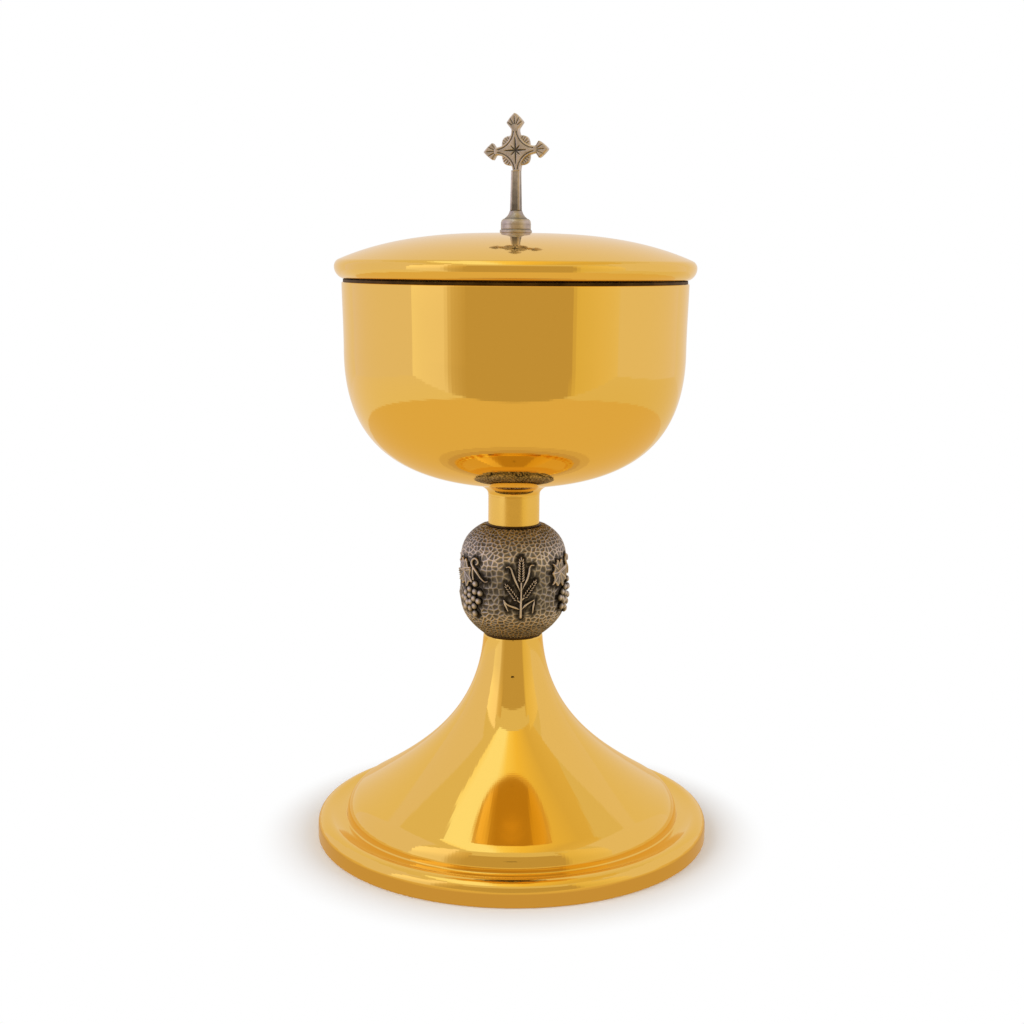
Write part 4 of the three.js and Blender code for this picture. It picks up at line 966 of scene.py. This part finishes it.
backward = calc(beating, "MULTIPLY", parts.outputs[1], -1.0)
bearing = calc(beating, "ARCTAN2", parts.outputs[0], backward)
from_seam = calc(beating, "SUBTRACT", bearing, given["Seam Turn"])
wrapped = calc(beating, "WRAP", from_seam, 2 * math.pi, 0.0)
round_way = calc(beating, "MULTIPLY", wrapped, given["Radius"])
radius = add(beating, "ShaderNodeVectorMath", {0: flat}, operation="LENGTH")
fall = calc(beating, "SUBTRACT", given["Radius"], radius.outputs["Value"])
rise = calc(beating, "SUBTRACT", parts.outputs[2], given["Middle"])
half = calc(beating, "SIGN", rise)
up_way = calc(beating, "MULTIPLY_ADD", fall, half, rise)
unrolled = add(beating, "ShaderNodeCombineXYZ", {0: round_way, 1: up_way})
per_metre = calc(beating, "DIVIDE", 1.0, given["Pitch"])
cells = add(beating, "ShaderNodeTexVoronoi", {
    "Vector": unrolled, "Scale": per_metre, "Randomness": given["Randomness"]},
    feature="DISTANCE_TO_EDGE", voronoi_dimensions="2D")
bowl_shape = add(beating, "ShaderNodeMapRange", {
    "Value": cells.outputs["Distance"], "From Min": 0.0, "From Max": DIMPLE_BOTTOM},
    interpolation_type="SMOOTHSTEP")
sink = calc(beating, "MULTIPLY", bowl_shape, given["Depth"])
down = calc(beating, "MULTIPLY", sink, -1.0)
offset = add(beating, "ShaderNodeVectorMath", {0: facing, "Scale": down}, operation="SCALE")
beaten = add(beating, "GeometryNodeSetPosition", {
    "Geometry": given["Geometry"], "Selection": outer, "Offset": offset})
raised = add(beating, "GeometryNodeJoinGeometry")
for label in ("Wheat", "Grapes"):
    relief_in = add(beating, "GeometryNodeObjectInfo", {"Object": given[label]})
    feed(raised, {0: relief_in.outputs["Geometry"]})
beside = add(beating, "GeometryNodeProximity", {0: raised}, target_element="FACES")
reached = add(beating, "ShaderNodeMapRange", {
    "Value": beside.outputs["Distance"], "From Min": CLOTH_STOPS, "From Max": CLOTH_CLEAR,
    "To Min": UNRUBBED, "To Max": 1.0}, interpolation_type="SMOOTHSTEP")
share = calc(beating, "DIVIDE", rise, given["Height"])
level = calc(beating, "ADD", share, 0.5)
# painted reflection: lighter bands on the shoulders, a darker band round the belly
reflection_bands = add(beating, "ShaderNodeFloatCurve", {"Value": level})
curve = reflection_bands.mapping.curves[0]
for height, brightness in ((0.1, 0.66), (0.22, 0.88), (0.3, 0.68), (0.62, 0.63), (0.74, 1.0), (0.84, 0.84)):
    curve.points.new(height, brightness)
curve.points[0].location, curve.points[-1].location = (0.0, 0.54), (1.0, 0.66)
reflection_bands.mapping.update()
hollow = calc(beating, "MULTIPLY", reflection_bands, HOLLOW_SHARE)
bright = add(beating, "ShaderNodeMapRange", {
    "Value": cells.outputs["Distance"], "From Min": RIDGE_CREST, "From Max": RIDGE_FOOT,
    "To Min": reflection_bands, "To Max": hollow}, interpolation_type="SMOOTHSTEP")
# the patina near the reliefs, multiplied by the painted reflection bands
rub_with_reflection_bands = calc(beating, "MULTIPLY", bright, reached)
noted = add(beating, "GeometryNodeStoreNamedAttribute", {
    "Geometry": beaten, "Name": "rub", "Value": rub_with_reflection_bands}, data_type="FLOAT", domain="POINT")
real = add(beating, "GeometryNodeRealizeInstances", {"Geometry": noted})
coated = add(beating, "GeometryNodeSetMaterial", {"Geometry": real, "Material": given["Material"]})
add(beating, "NodeGroupOutput", {0: coated})

ground = run_tree(ground, beating, {
    "Pitch": 0.0019, "Depth": 0.00026, "Radius": KNOP_RADIUS / 1000, "Middle": KNOP_MIDDLE / 1000,
    "Height": KNOP_HEIGHT / 1000, "Seam Turn": math.radians(143), "Randomness": 0.85, "Inside": 0.0001,
    "Wheat": reliefs[0], "Grapes": reliefs[1], "Material": antique_silver})
settle(ground, "stand", "antique_silver", "knop")
bpy.data.objects.remove(smooth_body)
print("knop_ground", len(ground.data.polygons), "faces")

# %% [markdown]
# The base of the finial is turned like a small bell: a lip at its foot, a straight
# wall, a rounded shoulder, a groove and a hollow cone under the shaft. The plate stays
# dark in the grooves and was rubbed bright on the shoulder.
# %% Bell of the finial
BELL_TOP, BELL_WALL, BELL_LIP, BELL_BORE = 7.3, 4.95, 5.3, 1.6
CROSS_FOOT = CROWN + BELL_TOP


def paint(piece, rule):
    note = piece.data.attributes.new("rub", "FLOAT", "POINT")
    note.data.foreach_set("value", [rule(*(c * 1000 for c in v.co)) for v in piece.data.vertices])


def bell_rub(x, y, z):
    radius, up = math.hypot(x, y), z - CROWN
    dark = sum(strength * max(0, 1 - abs(up - middle) / half)
               for middle, half, strength in ((1.15, 0.3, 1), (4.65, 0.35, 1), (2.7, 0.15, 0.3)))
    return max(0.1, 0.8 - 0.36 * dark - 0.12 * (up > 4.85) - 0.4 * (radius < 2))


bell = turned("finial_bell_turned", lifted([
    (0, 3.7), (BELL_BORE, 3.7), (BELL_BORE, 0), (5.1, 0), (BELL_LIP, 0.2), (BELL_LIP, 0.8), (5.15, 1.0),
    (BELL_WALL, 1.1), (4.92, 1.3), *[(BELL_WALL, 1.5 + 0.3 * i) for i in range(5)],
    *bezier([(BELL_WALL, 3.0), (BELL_WALL, 4.1), (4.1, 4.6)], 12)[1:], (3.85, 4.58), (3.75, 4.72),
    *bezier([(3.75, 4.75), (2.4, 5.7), (2.1, 7.1)], 14)[1:], (1.9, BELL_TOP), (1.3, BELL_TOP), (1.3, 4.5),
    (0, 4.5)], CROWN), antique_silver, steps=96, sharp=50)
paint(bell, bell_rub)
settle(bell, "lid", "antique_silver", "finial_bell")

# %% [markdown]
# The cross was cast flat and then cut with a graver: a star of eight rays in the
# middle, a line along every hollow, and veins in the buds at the ends of the arms.
# Each flat part is an outline filled with a fine net of points whose height drops
# toward the edge and into the cuts. The cuts are real grooves, not a bump, because
# the dark in them has to follow their depth.
# %% Cutting a flat casting
def distance_to(points, line, closed=False):
    a = np.array(line, float)
    b = np.roll(a, -1, axis=0) if closed else a[1:]
    a = a if closed else a[:-1]
    best = np.full(len(points), 1e9)
    for p, q in zip(a, b):
        d = q - p
        t = np.clip(((points - p) @ d) / max(d @ d, 1e-12), 0, 1)
        best = np.minimum(best, np.linalg.norm(points - p - t[:, None] * d, axis=1))
    return best


def within(points, outline):
    x, y = points.T
    inside = np.zeros(len(points), bool)
    for (x0, y0), (x1, y1) in zip(outline, np.roll(outline, -1, axis=0)):
        crosses = (y0 > y) != (y1 > y)
        inside ^= crosses & (x < (x1 - x0) * (y - y0) / ((y1 - y0) or 1e-12) + x0)
    return inside


def facing_front(flat, face):
    corner, second, third = flat[face[0]], flat[face[1]], flat[face[2]]
    (x0, y0), (x1, y1) = second - corner, third - corner
    return x0 * -y1 + y0 * x1 < 0


def cut_plate(outline, cuts, half_depth, spacing=0.13, rounding=0.38):
    outline = np.array(outline, float)
    low, high = outline.min(0), outline.max(0)
    columns, rows = (np.arange(low[i], high[i], spacing) for i in (0, 1))
    net = np.stack(np.meshgrid(columns, rows), -1).reshape(-1, 2)
    net[:, 0] += spacing / 2 * (np.round(net[:, 1] / spacing) % 2)
    net = net[within(net, outline)]
    net = net[distance_to(net, outline, True) > spacing * 0.6]
    count = len(outline)
    ring = [(i, (i + 1) % count) for i in range(count)]
    found = delaunay_2d_cdt([Vector(p) for p in np.vstack([outline, net])], ring, [], 1, 1e-5)
    flat, faces = np.array([tuple(v) for v in found[0]]), [tuple(f) for f in found[2]]
    deep = np.zeros(len(flat))
    for line, wide_start, wide_end, depth in cuts:
        start, end = np.array(line[0], float), np.array(line[-1], float)
        share = np.clip(((flat - start) @ (end - start)) / ((end - start) @ (end - start)), 0, 1)
        width = wide_start + (wide_end - wide_start) * share
        deep = np.maximum(deep, np.clip(1 - distance_to(flat, line) / width, 0, 1) * depth)
    inset = np.clip(distance_to(flat, outline, True), 0, rounding)
    drop = rounding - np.sqrt(np.maximum(rounding ** 2 - (rounding - inset) ** 2, 0))
    out = half_depth - drop - deep
    places = [(x, side * h, y) for side in (-1, 1) for (x, y), h in zip(flat, out)]
    size = len(flat)
    made = [f if facing_front(flat, f) else f[::-1] for f in faces]
    sides = dict.fromkeys((a, b) for f in made for a, b in zip(f, (*f[1:], f[0])))
    edges = [(b, a, a + size, b + size) for a, b in sides if (b, a) not in sides]
    made += [tuple(i + size for i in f[::-1]) for f in made] + edges
    rub = 0.78 - 1.7 * deep + 0.12 * (inset < rounding)
    return places, made, [float(max(0.0, r)) for r in rub] * 2


print("graver ready")

# %% [markdown]
# The outline of the head runs from hollow to bud: four round hollows cut between the
# arms, a pointed bud at the end of each arm, and no bud below, where the shaft begins.
# Behind it lies a thinner plate with four lobes, and the shaft is a square column with
# rounded corners that tapers upward. The whole head leans a little, as in the photograph.
# %% Cross
SIDE_REACH, TOP_REACH = 10.9, 11.98
BUD_LONG, BUD_HALF = 3.1, 2.8
HOLLOW_MIDDLE, HOLLOW_RADIUS = 6.76, 5.56
HEAD_HALF, LOBE_HALF, LOBE_REACH = 1.5, 0.95, 4.8
HEAD_HEIGHT, HEAD_LEAN = 19.2, math.radians(2.3)
CORNERS = (45, 135, 225, 315)


def spoke(degrees, along, aside=0.0):
    turn = math.radians(degrees)
    return (along * math.cos(turn) - aside * math.sin(turn), along * math.sin(turn) + aside * math.cos(turn))


def softened(points, spacing=0.14, passes=4):
    p = np.array([*points, points[0]], float)
    run = np.concatenate([[0], np.cumsum(np.linalg.norm(np.diff(p, axis=0), axis=1))])
    at = np.linspace(0, run[-1], int(run[-1] / spacing), endpoint=False)
    p = np.stack([np.interp(at, run, p[:, 0]), np.interp(at, run, p[:, 1])], 1)
    for _ in range(passes):
        p = (np.roll(p, 1, 0) + 2 * p + np.roll(p, -1, 0)) / 4
    return p


head_line, head_cuts = [], []
for degrees in (-45, 45, 135, 225):
    turn = math.radians(degrees)
    middle = (math.copysign(HOLLOW_MIDDLE, math.cos(turn)), math.copysign(HOLLOW_MIDDLE, math.sin(turn)))
    head_line += arc(middle, HOLLOW_RADIUS, degrees - 135, degrees - 225, 24)
    head_cuts.append((arc(middle, HOLLOW_RADIUS + 0.75, degrees - 142, degrees - 218, 24), 0.24, 0.24, 0.32))
    if degrees == 225:
        continue
    arm = degrees + 45
    reach = TOP_REACH if arm == 90 else SIDE_REACH
    tip = spoke(arm, reach)
    corner, pull, far_pull, far_corner = (
        spoke(arm, reach - back, aside) for back, aside in (
            (BUD_LONG, -BUD_HALF), (1.25, -1.55), (1.25, 1.55), (BUD_LONG, BUD_HALF)))
    head_line += [corner, *bezier([corner, pull, tip], 12)[1:], *bezier([tip, far_pull, far_corner], 12)[1:]]
    root = reach - 4.6
    for lean, start, end in ((0, 1.0, 3.4), (27, 1.1, 3.3), (-27, 1.1, 3.3), (55, 1.2, 3.0), (-55, 1.2, 3.0)):
        vein = [spoke(arm, *toward(lean, distance, (root, 0))) for distance in (start, end)]
        head_cuts.append((vein, 0.26, 0.16, 0.3))
for degrees in range(0, 360, 45):
    long_ray = {0: 3.6, 180: 3.6, 90: 4.2, 270: 4.2}.get(degrees, 2.0)
    head_cuts.append(([(0, 0), spoke(degrees, long_ray)], 0.5, 0.14, 0.4))
lobe_line = [(LOBE_REACH * c / (c ** 4 + s ** 4) ** 0.25, LOBE_REACH * s / (c ** 4 + s ** 4) ** 0.25)
             for c, s in circle(160)]
lobe_cuts = [([spoke(d + lean, 3.9), spoke(d + lean, 5.3)], 0.2, 0.2, 0.25)
             for d in CORNERS for lean in (-15, -5, 5, 15)]

cross = Wax()
lean_cos, lean_sin = math.cos(HEAD_LEAN), math.sin(HEAD_LEAN)
for outline, cuts, half_depth in (
        (softened(head_line), head_cuts, HEAD_HALF), (softened(lobe_line), lobe_cuts, LOBE_HALF)):
    places, faces, rub = cut_plate(outline, cuts, half_depth)
    start = len(cross.places)
    cross.places += [(x * lean_cos - z * lean_sin, y, x * lean_sin + z * lean_cos + CROSS_FOOT + HEAD_HEIGHT)
                     for x, y, z in places]
    cross.faces += [tuple(i + start for i in f) for f in faces]
    cross.rub += rub

shaft_rows, shaft_rub = [], []
shaft_levels = [(-2.5, 0, 0, 0), (-2.5, 2.3, 2.3, 0), (-0.02, 2.3, 2.3, 0), (0, 3.3, 3.4, 0.35)]
shaft_levels += [(0.15 + 12.7 * t, 3.35 - 0.45 * t, 3.45 - 0.75 * t, 0.36 + 0.3 * t)
                 for t in np.linspace(0, 1, 24)]
shaft_levels += [(12.9, 0, 0, 0)]
for z, wide, deep, bright in shaft_levels:
    row, notes = [], []
    for k in range(48):
        a = 2 * math.pi * (k + 0.5) / 48
        square = (abs(math.cos(a)) ** 9 + abs(math.sin(a)) ** 9) ** (-1 / 9)
        row.append((wide / 2 * square * math.cos(a), deep / 2 * square * math.sin(a), CROSS_FOOT + z))
        notes.append(min(0.9, bright + 0.35 * (square > 1.18)))
    shaft_rows.append(row)
    shaft_rub.append(notes)
cross.shell(shaft_rows, shaft_rub)
cross_mesh = cross.mesh("finial_cross_cast")
cross_mesh.shade_smooth()
cross_mesh.materials.append(antique_silver)
settle(loose(cross_mesh), "lid", "antique_silver", "finial_cross")
print("cross faces", len(cross_mesh.polygons))

# %% [markdown]
# Everything is held by hidden hardware: a threaded rod through the stem with its
# nut and washers in the neck of the foot, and a stud with a small nut under the lid.
# A thread is a ramp wound round a rod, so its radius depends only on the height less
# the share of a turn. The spring washer is cut once and climbs a little, and the nuts
# have the chamfer that hexagon bar gets on the lathe.
# %% Hardware
def plain_piece(name, wax, material, smooth=30):
    mesh = wax.mesh(name)
    mesh.materials.append(material)
    mesh.shade_smooth()
    mesh.set_sharp_from_angle(angle=math.radians(smooth))
    return loose(mesh)


def threaded(name, radius, pitch, low, high, material, steps=24):
    depth, wax = pitch * 0.55, Wax()
    levels = np.linspace(low, high, int((high - low) / pitch * 6) + 1)
    rows = [[(0, 0, low)] * steps]
    for z in levels:
        near_end = min((z - low) / pitch, (high - z) / pitch, 1)
        row = []
        for k in range(steps):
            ramp = abs(((z / pitch - k / steps) % 1) * 2 - 1)
            r = radius - depth * min(max(ramp * 1.3 - 0.15, 0), 1) - depth * (1 - near_end) * 0.5
            row.append((r * math.cos(2 * math.pi * k / steps), r * math.sin(2 * math.pi * k / steps), z))
        rows.append(row)
    rows.append([(0, 0, high)] * steps)
    wax.shell(rows, np.zeros((len(rows), steps)))
    return plain_piece(name, wax, material, 80)


def nut(name, flats, bore, low, high, material, steps=96):
    wax, face = Wax(), flats / 2 * 0.97
    turns = [2 * math.pi * k / steps for k in range(steps)]
    across = [flats / 2 / math.cos(turn % (math.pi / 3) - math.pi / 6) for turn in turns]
    bevel = [(r - face) * 0.5 for r in across]
    rings = [
        ([bore] * steps, [low] * steps), ([face] * steps, [low] * steps), (across, [low + b for b in bevel]),
        (across, [high - b for b in bevel]), ([face] * steps, [high] * steps), ([bore] * steps, [high] * steps),
        ([bore] * steps, [low] * steps)]
    rows = [[(r * math.cos(turn), r * math.sin(turn), z) for r, z, turn in zip(radii, heights, turns)]
            for radii, heights in rings]
    wax.shell(rows, np.zeros((len(rows), steps)))
    return plain_piece(name, wax, material)


NUT_LOW, NUT_TOP, WASHER_LOW, WASHER_TOP = 62.05, 67.05, 68.45, 69.65
for piece, body, slot, node in (
        (threaded("tie_rod", 3.0, 1.0, 59.55, 120.55, turned_steel), "stand", "plain_steel", "stem_rod"),
        (threaded("finial_stud_screw", 1.5, 0.5, CROWN - 4.9, CROWN + 3.6, turned_steel),
         "lid", "plain_steel", "finial_stud"),
        (nut("stem_nut", 10.0, 3.1, NUT_LOW, NUT_TOP, turned_steel), "stand", "plain_steel", "clamp_nut"),
        (nut("lid_nut", 5.5, 1.6, CROWN - 3.9, CROWN - 1.5, turned_brass), "lid", "plain_brass", "finial_nut"),
        (tube("stem_washer", 8.0, ROD_HOLE, WASHER_LOW, WASHER_TOP, turned_steel, 0.2),
         "stand", "plain_steel", "clamp_washer"),
        (tube("lid_washer", 3.5, STUD_HOLE, CROWN - 1.5, CROWN - 1.0, turned_brass, 0.1),
         "lid", "plain_brass", "finial_washer"),
        (tube("sleeve", 4.5, ROD_HOLE, KNOP_LOW, KNOP_TOP, turned_brass, 0.1),
         "stand", "plain_brass", "knop_sleeve")):
    settle(piece, body, slot, node)

SLIT, CLIMB, SPRING_BORE, SPRING_REACH, SPRING_THICK = math.radians(12), 0.35, 3.35, 5.4, 1.05
split = Wax()
rows = []
for turn in np.linspace(SLIT, 2 * math.pi, 73):
    base = NUT_TOP + CLIMB * (turn - SLIT) / (2 * math.pi - SLIT)
    section = [
        (SPRING_BORE, base), (SPRING_REACH - 0.1, base), (SPRING_REACH, base + 0.1),
        (SPRING_REACH, base + SPRING_THICK - 0.1), (SPRING_REACH - 0.1, base + SPRING_THICK),
        (SPRING_BORE, base + SPRING_THICK)]
    rows.append([(r * math.cos(turn), r * math.sin(turn), z) for r, z in section])
for end, where in ((0, 0), (-1, len(rows) + 1)):
    middle = tuple(np.mean(rows[end], axis=0))
    rows.insert(where, [middle] * len(section))
split.shell(rows, np.zeros((len(rows), len(section))))
settle(plain_piece("split_washer", split, turned_steel), "stand", "plain_steel", "spring_washer")
print("hardware done")
